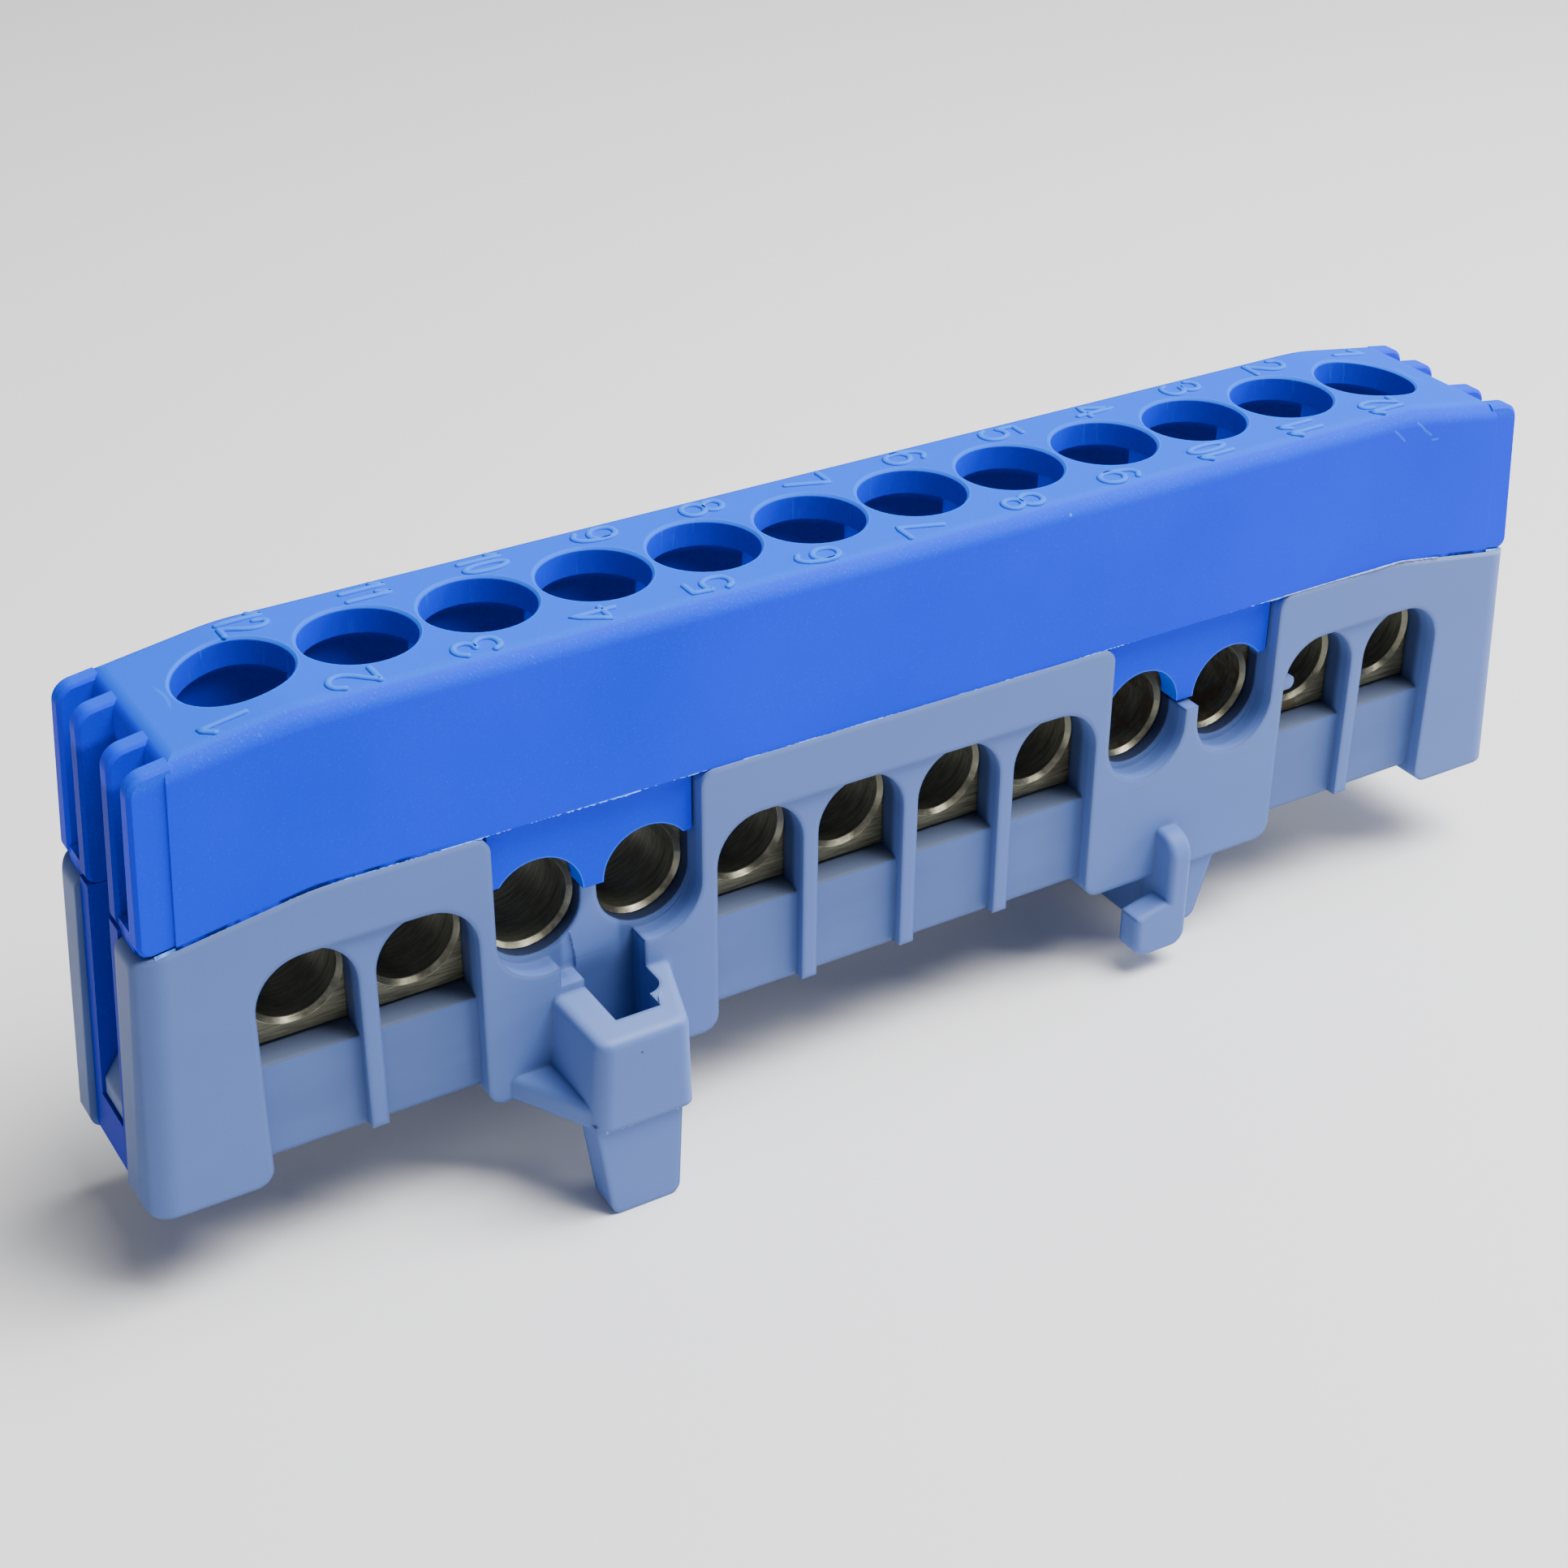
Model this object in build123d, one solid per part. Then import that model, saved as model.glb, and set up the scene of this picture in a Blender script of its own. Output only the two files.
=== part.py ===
"""Twelve-way neutral terminal bar in an insulating housing that clips on a 35 mm top-hat rail.

X runs along the bar, -Y faces the side on which way 1 lies at the left, +Z is up.
The origin lies under the middle of the housing, at the height of the latch legs' tips.
"""
from build123d import *
import math
import os

# Driving dimensions, in millimetres and degrees
way_count = 12
wire_hole_radius = 2.6
wire_hole_wall = 1.3
end_margin = 9.45
end_taper = 4.0
crown_inset = 0.95
crown_slope = 9.0
crown_bend_radius = 15.0

# Heights of the stack, each from the level below it
foot_drop = 5.75
floor_height = 6.6
base_height = 16.65
cover_height = 9.7

# Metal bar
bar_width = 7.0
bar_height = 9.0
bar_end_margin = 4.75
bar_edge_chamfer = 0.3
wire_hole_chamfer = 0.26
wire_hole_rise = 3.85

# Clamp screws, drawn fully backed off
screw_radius = 2.46
screw_running_gap = 0.04
screw_shank_length = 6.6
screw_tip_chamfer = 0.5
screw_head_margin = 0.24
screw_head_height = 1.8
screw_head_chamfer = 0.3
screw_tip_clearance = 0.2
drive_slot_width = 0.9
drive_slot_depth = 1.0

# Base walls, windows and recessed bays
wall_thickness = 2.4
bar_side_gap = 0.1
bar_end_gap = 0.2
bar_top_gap = 0.05
rib_setback = 0.3
panel_setback = 0.95
window_margin = 0.18
bay_lift = 1.05
zone_corner_radius = 1.0
lobe_margin = 0.2
lobe_drop = 0.35
web_rise = 0.6
cut_corner_radius = 0.9
floor_thickness = 1.6
pillar_corner_radius = 1.6
pillar_rim_radius = 0.8
cross_wall = 1.4

# Cover
side_draft = 1.4
cover_setback = 0.35
top_edge_radius = 1.0
plate_thickness = 1.5
access_margin = 0.3
access_rim_chamfer = 0.15
guide_margin = 0.65
plug_rise = 0.5
fin_thickness = 1.2
fin_side_step = 0.12
fin_setback = 0.35
fin_projection = 1.75
fin_top_drop = 0.08
fin_corner_radius = 1.15
fin_foot_radius = 0.7
fin_edge_break = 0.2
fin_web_height = 1.0
fin_web_setback = 0.1
fin_root_inset = 0.3
inner_fin_offset = 2.2
tongue_setback = 0.8
tongue_bar_gap = 0.25
tongue_side_gap = 0.15
tongue_arc_margin = 0.05
tongue_arc_lift = 0.85
tongue_end_rise = 2.45

# Snap loops and the catches that hold them
loop_gap = 0.15
loop_lift = 0.45
loop_bar_height = 2.6
catch_height = 3.9
catch_lip = 0.95
catch_setback = 0.5

# Rail and the feet that grip it
rail_width = 35.0
rail_lip = 1.0
rail_side_gap = 0.1
rail_lip_gap = 0.05
seat_wall = 3.0
hook_reach = 1.8
hook_wall = 1.5
hook_toe = 2.3
hook_toe_depth = 1.6
hook_toe_height = 3.35
hook_toe_fall = 0.5
hook_fin_height = 3.3
hook_fin_radius = 1.5
hook_corner_radius = 1.0
hook_edge_radius = 0.35
brace_top = 5.0
brace_bottom = 3.7
brace_corner_radius = 0.7
brace_setback = 0.3
brace_wall = 1.4

# Latch beside way 3 and way 4: box, socket, flange and leg
latch_reach = 5.3
latch_height = 5.75
latch_inset = 1.9
latch_left_root = 3.1
latch_left_front = 2.95
latch_right_root = 4.3
latch_right_front = 2.25
latch_flare = 0.35
latch_foot_lift = 0.15
latch_edge_radius = 0.8
latch_top_radius = 0.5
latch_channel_left = 2.5
latch_channel_right = 2.5
latch_channel_lip = 0.45
socket_front_wall = 1.8
socket_left = 1.15
socket_right = 1.5
socket_notch = 1.0
socket_notch_depth = 1.2
socket_floor = 0.9
socket_back_wall = 0.95
flange_reach = 2.6
flange_height = 1.3
leg_setback = 0.3
leg_thickness = 1.9
leg_left_top = 3.3
leg_left_bottom = 2.4
leg_right_lean = 0.3
leg_corner_radius = 0.7
nose_reach = 1.0
nose_height = 1.3
nose_length = 2.6
nose_edge = 0.4
bulge_reach = 0.25
bulge_height = 2.0

# Flash nib left on the edge of one window
nib_way = 11
nib_length = 1.3
nib_thickness = 0.9
nib_root = 0.25

# Spacing, heights and reaches worked out from the sizes above
pitch = 2 * wire_hole_radius + wire_hole_wall
body_bottom = foot_drop
bar_bottom = body_bottom + floor_height
bar_top = bar_bottom + bar_height
wire_height = bar_bottom + wire_hole_rise
seam_height = body_bottom + base_height
cover_top = seam_height + cover_height
half_span = (way_count - 1) / 2 * pitch
end_reach = half_span + end_margin
crown_half = half_span - crown_inset
bar_half_length = half_span + bar_end_margin
trough_half_width = bar_width / 2 + bar_side_gap
trough_half_length = bar_half_length + bar_end_gap
base_half_width = trough_half_width + wall_thickness
cover_half_width = base_half_width - cover_setback
panel_half_width = base_half_width - panel_setback
rib_half_width = base_half_width - rib_setback
window_half_width = wire_hole_radius + window_margin
lobe_radius = wire_hole_radius + lobe_margin
bay_top = wire_height + window_half_width
screw_head_radius = screw_radius + screw_head_margin
access_hole_radius = screw_head_radius + access_margin
guide_radius = access_hole_radius + guide_margin
hook_face = rail_width / 2 + rail_side_gap
latch_center = -hook_face - latch_inset
latch_front = base_half_width + latch_reach
socket_back = trough_half_width + socket_back_wall
toe_top = body_bottom - rail_lip - rail_lip_gap
far = 60.0

# Ways whose wire openings are closed from above by the cover's tongues
open_groups = ((3, 4), (9, 10))
bay_groups = ((1, 2), (5, 8), (11, 12))


def way_x(way):
    """Place along X of one way, counted from 1 at -X."""
    return (way - (way_count + 1) / 2) * pitch


def end_x(z):
    """Reach of the housing's tapered end at height z."""
    return end_reach - (z - body_bottom) * math.tan(math.radians(end_taper))


def fin_x(z):
    """Reach of the cover's fins, a little inside the base's end."""
    return end_x(z) - fin_setback


def root_x(z):
    """Face of the cover's end wall, from which the fins stand out."""
    return fin_x(z) - fin_projection


def slot_x(z):
    """Face of the base behind the snap loop."""
    return root_x(z) - loop_gap


def crown_z(x, level):
    """Height at x of a line that is flat at `level` and falls towards both ends."""
    return level - max(0.0, abs(x) - crown_half) * math.tan(math.radians(crown_slope))


def polygon_xz(points):
    """Face in the XZ plane through the given points."""
    return Plane.XZ * make_face(Polyline(*points, close=True))


def slab_xz(points, y_low, y_high):
    """Prism of an XZ outline between two values of Y."""
    face = Pos(0, y_high, 0) * polygon_xz(points)
    return extrude(face, amount=y_high - y_low)


def block(x0, x1, y0, y1, z0, z1):
    """Box between two corners."""
    size = (x1 - x0, y1 - y0, z1 - z0)
    return Pos((x0 + x1) / 2, (y0 + y1) / 2, (z0 + z1) / 2) * Box(*size)


def cylinder_y(x, z, radius, y0, y1):
    """Round bar along Y between two values of Y."""
    return Pos(x, (y0 + y1) / 2, z) * Rot(90, 0, 0) * Cylinder(radius, y1 - y0)


def crowned_slab(top, bottom, reach, half_width):
    """Prism along Y whose top and bottom follow the crown, with softened bends."""
    upper = [(-crown_half, top), (crown_half, top)]
    lower = [(crown_half, bottom), (-crown_half, bottom)]
    x_top = reach(top)
    x_bottom = reach(bottom)
    right = [(x_top, crown_z(x_top, top)), (x_bottom, crown_z(x_bottom, bottom))]
    left = [(-x, z) for x, z in reversed(right)]
    outline = make_face(Polyline(*upper, *right, *lower, *left, close=True))
    bends = [v for v in outline.vertices() if abs(abs(v.X) - crown_half) < 0.01]
    outline = fillet(bends, crown_bend_radius)
    return extrude(Plane.XZ * outline, amount=half_width, both=True)


def cover_section():
    """Prism along X with the cover's drafted cross-section, from below the seam to the top."""
    lean = math.tan(math.radians(side_draft))
    low = body_bottom
    wide = cover_half_width + (cover_top - low) * lean
    points = [(-cover_half_width, cover_top), (cover_half_width, cover_top), (wide, low), (-wide, low)]
    face = Plane.YZ * make_face(Polyline(*points, close=True))
    return extrude(face, amount=far, both=True)


def cover_shell():
    """Crowned block with rounded top edges, before it is hollowed."""
    body = crowned_slab(cover_top, seam_height, root_x, far) & cover_section()
    low = cover_top - 2.0
    rim = [e for e in body.edges()
           if e.center().Z > low
           and (abs(e.center().Y) > inner_fin_offset or abs(e.center().X) > crown_half + end_taper)]
    return fillet(rim, top_edge_radius)


def fin_outline(root_inset):
    """XZ outline of one end fin, from a little inside the end wall to the fin's tip."""
    root = root_x(cover_top) - root_inset
    top = crown_z(root_x(cover_top), cover_top) - fin_top_drop
    fall = (fin_x(top) - root) * math.tan(math.radians(crown_slope))
    tip = fin_x(top - fall)
    low_tip = crown_z(fin_x(seam_height), seam_height)
    low_root = root_x(seam_height) - root_inset
    points = [(root, top), (tip, top - fall), (fin_x(low_tip), low_tip),
              (low_root, crown_z(low_root, seam_height))]
    outline = make_face(Polyline(*points, close=True))
    corner = [v for v in outline.vertices() if abs(v.X - tip) < 0.01]
    outline = fillet(corner, fin_corner_radius)
    foot = [v for v in outline.vertices() if abs(v.Y - low_tip) < 0.01 and v.X > low_root + fin_root_inset]
    return fillet(foot, fin_foot_radius)


def softened(fin):
    """Fin with its long edges broken, except at its root."""
    root = root_x(cover_top)
    edges = [e for e in fin.edges() if e.center().X > root + fin_root_inset and e.bounding_box().size.Y < 1.0
             and e.length > fin_edge_break]
    return chamfer(edges, fin_edge_break)


def end_fins():
    """Two outer and two inner fins at the +X end, with the webs that join each pair."""
    low_tip = crown_z(fin_x(seam_height), seam_height)
    outline = Plane.XZ * fin_outline(fin_root_inset)
    inner_y = inner_fin_offset + fin_thickness / 2
    side = cover_half_width + cover_height * math.tan(math.radians(side_draft))
    outer_in = cover_half_width - fin_thickness
    outer_fin = extrude(Pos(0, side, 0) * outline, amount=side - outer_in)
    outer_fin = outer_fin & (Pos(0, -fin_side_step, 0) * cover_section())
    inner_fin = extrude(Pos(0, inner_y, 0) * outline, amount=fin_thickness)
    root = root_x(low_tip) - fin_root_inset
    tip = fin_x(low_tip + fin_web_height) - fin_web_setback
    web_points = [(root, crown_z(root, seam_height)), (tip, crown_z(tip, seam_height)),
                  (tip, low_tip + fin_web_height), (root, low_tip + fin_web_height)]
    web = slab_xz(web_points, inner_y - fin_root_inset, outer_in + fin_root_inset)
    half = softened(outer_fin) + softened(inner_fin) + web
    return half + mirror(half, about=Plane.XZ)


def snap_loop():
    """Loop at the +X end: two legs that carry on from the inner fins, and the bar across their ends."""
    low = body_bottom + loop_lift
    high = crown_z(root_x(seam_height), seam_height)
    half_width = inner_fin_offset + fin_thickness / 2
    bar_high = low + loop_bar_height
    leg = [(root_x(high), high), (fin_x(high), high), (fin_x(low), low), (root_x(low), low)]
    cross = [(root_x(bar_high), bar_high), (fin_x(bar_high), bar_high), (fin_x(low), low),
             (root_x(low), low)]
    inner = half_width - fin_thickness
    legs = slab_xz(leg, inner, half_width) + slab_xz(leg, -half_width, -inner)
    return legs + slab_xz(cross, -half_width, half_width)


def guide_wells():
    """Merged round wells under the top plate, one for each way."""
    depth = cover_top - bar_bottom
    wells = Part() + [Pos(way_x(n), 0, bar_bottom + depth / 2) * Cylinder(guide_radius, depth)
                      for n in range(1, way_count + 1)]
    under_plate = crowned_slab(cover_top - plate_thickness, bar_bottom, end_x, far)
    return wells & under_plate


def cover_tongue(first, last, side):
    """Tongue that fills the base's open cut-out and arches over its wires."""
    outer = side * (base_half_width - tongue_setback)
    inner = side * (trough_half_width - bar_side_gap + tongue_bar_gap)
    y0 = min(outer, inner)
    y1 = max(outer, inner)
    reach = lobe_radius - tongue_side_gap
    arc_height = wire_height + tongue_arc_lift
    tongue = block(way_x(first) - reach, way_x(last) + reach, y0, y1, arc_height, seam_height + plug_rise)
    for way in range(first, last + 1):
        x = way_x(way)
        tongue -= cylinder_y(x, arc_height, wire_hole_radius + tongue_arc_margin, y0 - 1, y1 + 1)
        outward = x - reach - 1 if way == first else x
        tongue -= block(outward, outward + reach + 1, y0 - 1, y1 + 1,
                        arc_height - 1, wire_height + tongue_end_rise)
    return tongue


def make_cover():
    """Insulating cover with access holes, wells, tongues, end fins and snap loops."""
    end = end_fins() + snap_loop()
    cover = cover_shell() + end + mirror(end, about=Plane.YZ)
    plug_half = trough_half_width - loop_gap
    low = bar_top + bar_top_gap
    plug = crowned_slab(seam_height + plug_rise, low, end_x, plug_half)
    cover += plug & block(-bar_half_length, bar_half_length, -far, far, low, far)
    for first, last in open_groups:
        for side in (-1, 1):
            cover += cover_tongue(first, last, side)
    cover -= guide_wells()
    for way in range(1, way_count + 1):
        cover -= Pos(way_x(way), 0, cover_top) * Cylinder(access_hole_radius, 4 * plate_thickness)
    rims = [e for e in cover.edges()
            if e.geom_type == GeomType.CIRCLE and abs(e.radius - access_hole_radius) < 0.01
            and abs(e.center().Z - cover_top) < 0.01]
    return chamfer(rims, access_rim_chamfer)


def lobes(first, last, height, y0, y1):
    """Round-bottomed slots of a group of ways, centred at `height`, between two values of Y."""
    cut = Part()
    for way in range(first, last + 1):
        x = way_x(way)
        cut += cylinder_y(x, height, lobe_radius, y0, y1)
        cut += block(x - lobe_radius, x + lobe_radius, y0, y1, height, seam_height)
    return cut


def open_cut(first, last):
    """Open-topped cut through both side walls for a group of ways, with a low web between them.

    Its upper corners are rounded, and in the outer layer of each wall its lobes lie lower than the wires.
    """
    x0 = way_x(first) - lobe_radius
    x1 = way_x(last) + lobe_radius
    reach = cut_corner_radius
    top = seam_height
    outline = [(x0, wire_height + web_rise), (x1, wire_height + web_rise), (x1, top), (x1 + reach, top),
               (x1 + reach, top + 1), (x0 - reach, top + 1), (x0 - reach, top), (x0, top)]
    face = make_face(Polyline(*outline, close=True))
    shoulders = [v for v in face.vertices() if abs(v.Y - top) < 0.01 and x0 - 0.01 < v.X < x1 + 0.01]
    cut = extrude(Pos(0, far, 0) * (Plane.XZ * fillet(shoulders, reach * 0.98)), amount=2 * far)
    cut += lobes(first, last, wire_height, -far, far)
    for side in (-1, 1):
        y0 = min(side * socket_back, side * far)
        cut += lobes(first, last, wire_height - lobe_drop, y0, y0 + far - socket_back)
    return cut


def arch_cut(way, low, y0, y1):
    """Round-topped opening of one way from height `low` up, between two values of Y."""
    x = way_x(way)
    straight = block(x - window_half_width, x + window_half_width, y0, y1, low, wire_height)
    return straight + cylinder_y(x, wire_height, window_half_width, y0, y1)


def base_block():
    """Outer form of the base: flat underside, crowned top and tapered ends with rounded corners."""
    x_low = end_x(body_bottom)
    x_high = end_x(seam_height)
    top_end = crown_z(x_high, seam_height)
    points = [(-x_low, body_bottom), (x_low, body_bottom), (x_high, top_end), (crown_half, seam_height),
              (-crown_half, seam_height), (-x_high, top_end)]
    outline = make_face(Polyline(*points, close=True))
    bends = [v for v in outline.vertices() if abs(abs(v.X) - crown_half) < 0.01]
    outline = fillet(bends, crown_bend_radius)
    corners = [v for v in outline.vertices() if abs(v.X) > x_high - 0.01]
    outline = fillet(corners, pillar_rim_radius)
    body = extrude(Plane.XZ * outline, amount=base_half_width, both=True)
    plan = Pos(x_low / 2, 0, body_bottom) * Rectangle(x_low, 2 * base_half_width)
    corners = [v for v in plan.vertices() if v.X > 1]
    lean = (-math.tan(math.radians(end_taper)), 0, 1)
    plan = fillet(corners, pillar_corner_radius)
    half = extrude(plan, amount=far / 2, dir=lean)
    half += block(-far, x_low / 2, -base_half_width, base_half_width, body_bottom, far / 2)
    return body & half & mirror(half, about=Plane.YZ)


def bay_relief(first, last, side):
    """What is cut from one side wall over a group of bays, with the ribs left standing."""
    outer = side * far
    rib_face = side * rib_half_width
    panel = side * panel_half_width
    relief = block(way_x(first), way_x(last), min(outer, rib_face), max(outer, rib_face),
                   body_bottom - 1, bay_top)
    for way in range(first, last + 1):
        relief += arch_cut(way, body_bottom - 1, min(outer, panel), max(outer, panel))
    return relief


def foot_lift(x0, x1):
    """What is cut from under a group of bays, with rounded corners on the raised zones at its sides."""
    reach = zone_corner_radius
    low = body_bottom
    outline = [(x0 - reach, low - 1), (x1 + reach, low - 1), (x1 + reach, low), (x1, low),
               (x1, low + bay_lift), (x0, low + bay_lift), (x0, low), (x0 - reach, low)]
    face = make_face(Polyline(*outline, close=True))
    corners = [v for v in face.vertices() if abs(v.Y - low) < 0.01 and x0 - 0.01 < v.X < x1 + 0.01]
    return extrude(Pos(0, far, 0) * (Plane.XZ * fillet(corners, reach * 0.98)), amount=2 * far)


def catch_wedge():
    """Sloped catch on the +X end of the base, under which the snap loop's bar hooks."""
    low = body_bottom + loop_lift + loop_bar_height + loop_gap
    half_width = inner_fin_offset - fin_thickness / 2 - loop_gap
    root = slot_x(low + catch_height) - 0.5
    points = [(root, low), (end_x(low) - catch_setback, low),
              (end_x(low + catch_lip) - catch_setback, low + catch_lip),
              (slot_x(low + catch_height), low + catch_height), (root, low + catch_height)]
    return slab_xz(points, -half_width, half_width)


def end_slot():
    """Slot at the +X end in which the snap loop lies."""
    half_width = inner_fin_offset + fin_thickness / 2 + loop_gap
    low = body_bottom - 1
    high = seam_height + 1
    points = [(slot_x(low), low), (far, low), (far, high), (slot_x(high), high)]
    return slab_xz(points, -half_width, half_width)


def hollow_cells():
    """Hollow of the underside, cut between its cross walls."""
    half = cross_wall / 2
    edge = abs(way_x(bay_groups[0][1])) - pitch / 2 - half
    seat_in = hook_face - seat_wall
    spans = [(-trough_half_length + half, -edge - cross_wall), (-edge, -hook_face), (-seat_in, -half),
             (half, seat_in), (hook_face + brace_top, edge), (edge + cross_wall, trough_half_length - half)]
    cells = Part()
    for x0, x1 in spans:
        cells += block(x0, x1, -trough_half_width, trough_half_width,
                       body_bottom - 1, bar_bottom - floor_thickness)
    return cells


def flash_nib():
    """Nib of flash that stands into one window from its edge."""
    x = way_x(nib_way) - window_half_width - nib_root
    y = -(rib_half_width - nib_thickness / 2)
    lug = Pos(x + nib_length / 2, y, wire_height) * Box(nib_length, nib_thickness, nib_thickness)
    return fillet(lug.edges().filter_by(Axis.Y), nib_thickness * 0.45)


def latch_box(side):
    """Box beside the side wall, wider at its root and at its foot."""
    x = latch_center
    wall = panel_half_width
    front = latch_front
    top = body_bottom + latch_height

    def ring(flare, z):
        corners = [(x - latch_left_root - flare, -wall), (x + latch_right_root, -wall),
                   (x + latch_right_front + flare / 2, -front), (x - latch_left_front - flare, -front)]
        return Pos(0, 0, z) * make_face(Polyline(*corners, close=True))

    body = loft([ring(latch_flare, body_bottom + latch_foot_lift), ring(0, top)])
    uprights = [e for e in body.edges()
                if e.bounding_box().size.Z > latch_height / 2 and e.center().Y < -wall - 1]
    body = fillet(uprights, latch_edge_radius)
    rim = [e for e in body.edges() if abs(e.center().Z - top) < 0.01 and e.center().Y < -wall - 0.2]
    body = fillet(rim, latch_top_radius)
    return body if side < 0 else mirror(body, about=Plane.XZ)


def latch_flange(side):
    """Low flange that braces the latch box against the side wall."""
    x = latch_center - latch_left_root
    wall = panel_half_width
    inside = x + latch_edge_radius + 1
    front = latch_front - latch_edge_radius
    points = [(x - flange_reach, -wall), (x - flange_reach, -base_half_width), (x - latch_flare / 2, -front),
              (inside, -front), (inside, -wall)]
    low = body_bottom + latch_foot_lift
    plate = Pos(0, 0, low) * extrude(make_face(Polyline(*points, close=True)), amount=flange_height)
    edge = [e for e in plate.edges() if e.center().Z > low + flange_height - 0.01
            and e.center().X < x and e.center().Y < -wall - 0.3]
    plate = fillet(edge, flange_height / 3)
    return plate if side < 0 else mirror(plate, about=Plane.XZ)


def latch_leg(side):
    """Tapered leg under the latch box, with the nose that hooks under the rail's lip."""
    outer = latch_front - leg_setback
    inner = outer - leg_thickness
    right = -hook_face
    top = body_bottom + latch_top_radius
    points = [(latch_center - leg_left_top, top), (right, top), (right - leg_right_lean, 0),
              (latch_center - leg_left_bottom, 0)]
    leg = slab_xz(points, -outer, -inner)
    bottom = [e for e in leg.edges().filter_by(Axis.Y) if e.center().Z < 0.01]
    leg = fillet(bottom, leg_corner_radius)
    nose_low = toe_top - nose_height - nose_reach
    nose = [(right - leg_thickness, top), (right, top), (right, toe_top), (right + nose_reach, toe_top),
            (right + nose_reach, toe_top - nose_edge), (right, nose_low), (right - leg_thickness, nose_low)]
    leg += slab_xz(nose, -inner, -inner + nose_length)
    return leg if side < 0 else mirror(leg, about=Plane.XZ)


def latch_bulge(side):
    """Rounded ridge low on the inner side of the latch box."""
    x = latch_center + latch_right_front
    inside = x - latch_edge_radius
    crest = x + latch_flare / 2 + bulge_reach
    low = body_bottom + latch_foot_lift
    high = low + bulge_height
    line = Line((inside, low), (inside, high))
    arc = ThreePointArc((inside, high), (crest, (low + high) / 2), (inside, low))
    face = Plane.XZ * make_face(line + arc)
    back = -base_half_width + rib_setback
    front = -latch_front + latch_edge_radius
    ridge = extrude(Pos(0, back, 0) * face, amount=back - front)
    return ridge if side < 0 else mirror(ridge, about=Plane.XZ)


def latch_socket(side):
    """Open-topped socket in the latch box with a curved notch, and the channel in the wall above it."""
    x = latch_center
    front = -(latch_front - socket_front_wall)
    back = -socket_back
    right = x + socket_right
    notch_y = front + socket_notch_depth
    arc = ThreePointArc((right, notch_y), (right + 0.7 * socket_notch, notch_y + 0.3 * socket_notch),
                        (right + socket_notch, notch_y + socket_notch))
    outline = Polyline((right + socket_notch, notch_y + socket_notch), (right + socket_notch, back),
                       (x - socket_left, back), (x - socket_left, front), (right, front), (right, notch_y))
    pocket = Pos(0, 0, body_bottom + socket_floor) * extrude(make_face(arc + outline), amount=far)
    top = body_bottom + latch_height
    channel = block(x - latch_channel_left, x + latch_channel_right, -far, back, top + latch_channel_lip, far)
    cut = pocket + channel
    return cut if side < 0 else mirror(cut, about=Plane.XZ)


def hook_brace():
    """Hollow block between the two hooks, whose flat side meets the edge of the rail."""
    low = toe_top - hook_toe_height
    x0 = hook_face
    outline = [(x0, body_bottom + brace_setback), (x0 + brace_top, body_bottom + brace_setback),
               (x0 + brace_top, body_bottom), (x0 + brace_bottom, low), (x0, low)]
    half = base_half_width - brace_setback
    brace = slab_xz(outline, -half, half)
    corners = [e for e in brace.edges().filter_by(Axis.Y) if e.center().Z < low + 0.01]
    brace = fillet(corners, brace_corner_radius)
    inner = half - brace_wall
    return brace - block(x0 + brace_wall, x0 + brace_bottom - brace_wall, -inner, inner, 0, body_bottom)


def rail_hook(side):
    """Hook on one side wall: an upright fin and a toe that reaches under the rail's lip."""
    x0 = hook_face
    x1 = x0 + hook_wall
    front = base_half_width + hook_reach
    top = body_bottom + hook_fin_height
    low = toe_top - hook_toe_height
    back = base_half_width - brace_setback - brace_wall / 2
    profile = make_face(Polyline((back, low), (front, low), (front, top), (back, top), close=True))
    crown = [v for v in profile.vertices() if v.X > front - 0.01 and v.Y > top - 0.01]
    profile = fillet(crown, hook_fin_radius)
    fin = extrude(Pos(x0, 0, 0) * (Plane.YZ * profile), amount=hook_wall)
    toe = slab_xz([(x0 - hook_toe, low), (x1, low), (x1, toe_top), (x0, toe_top),
                   (x0 - hook_toe, toe_top - hook_toe_fall)], front - hook_toe_depth, front)
    hook = fin + toe
    corners = [e for e in hook.edges().filter_by(Axis.Y) if e.center().Z < low + 0.01
               and abs(e.center().X - x0) > 0.01]
    hook = fillet(corners, hook_corner_radius)
    soft = [e for e in hook.edges() if abs(e.center().Y - front) < 0.01
            or (e.geom_type == GeomType.CIRCLE and e.center().Z > body_bottom + 1)]
    hook = fillet(soft, hook_edge_radius)
    return hook if side > 0 else mirror(hook, about=Plane.XZ)


def make_base():
    """Insulating base: trough for the bar, wire openings, catches, feet and hollow underside."""
    base = base_block()
    for first, last in bay_groups:
        for side in (-1, 1):
            base -= bay_relief(first, last, side)
        x0 = way_x(first) - window_half_width
        x1 = way_x(last) + window_half_width
        base -= foot_lift(x0, x1)
        for way in range(first, last + 1):
            base -= arch_cut(way, bar_bottom, -far, far)
    base -= hollow_cells()
    for side in (-1, 1):
        base += latch_box(side) + latch_flange(side) + latch_bulge(side)
    for first, last in open_groups:
        base -= open_cut(first, last)
    base -= block(-trough_half_length, trough_half_length, -trough_half_width, trough_half_width,
                  bar_bottom, far)
    for side in (-1, 1):
        base -= latch_socket(side)
        base += latch_leg(side)
        base += rail_hook(side)
    slot = end_slot()
    base -= slot + mirror(slot, about=Plane.YZ)
    wedge = catch_wedge()
    base += wedge + mirror(wedge, about=Plane.YZ)
    base += hook_brace()
    return base + flash_nib()


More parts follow.
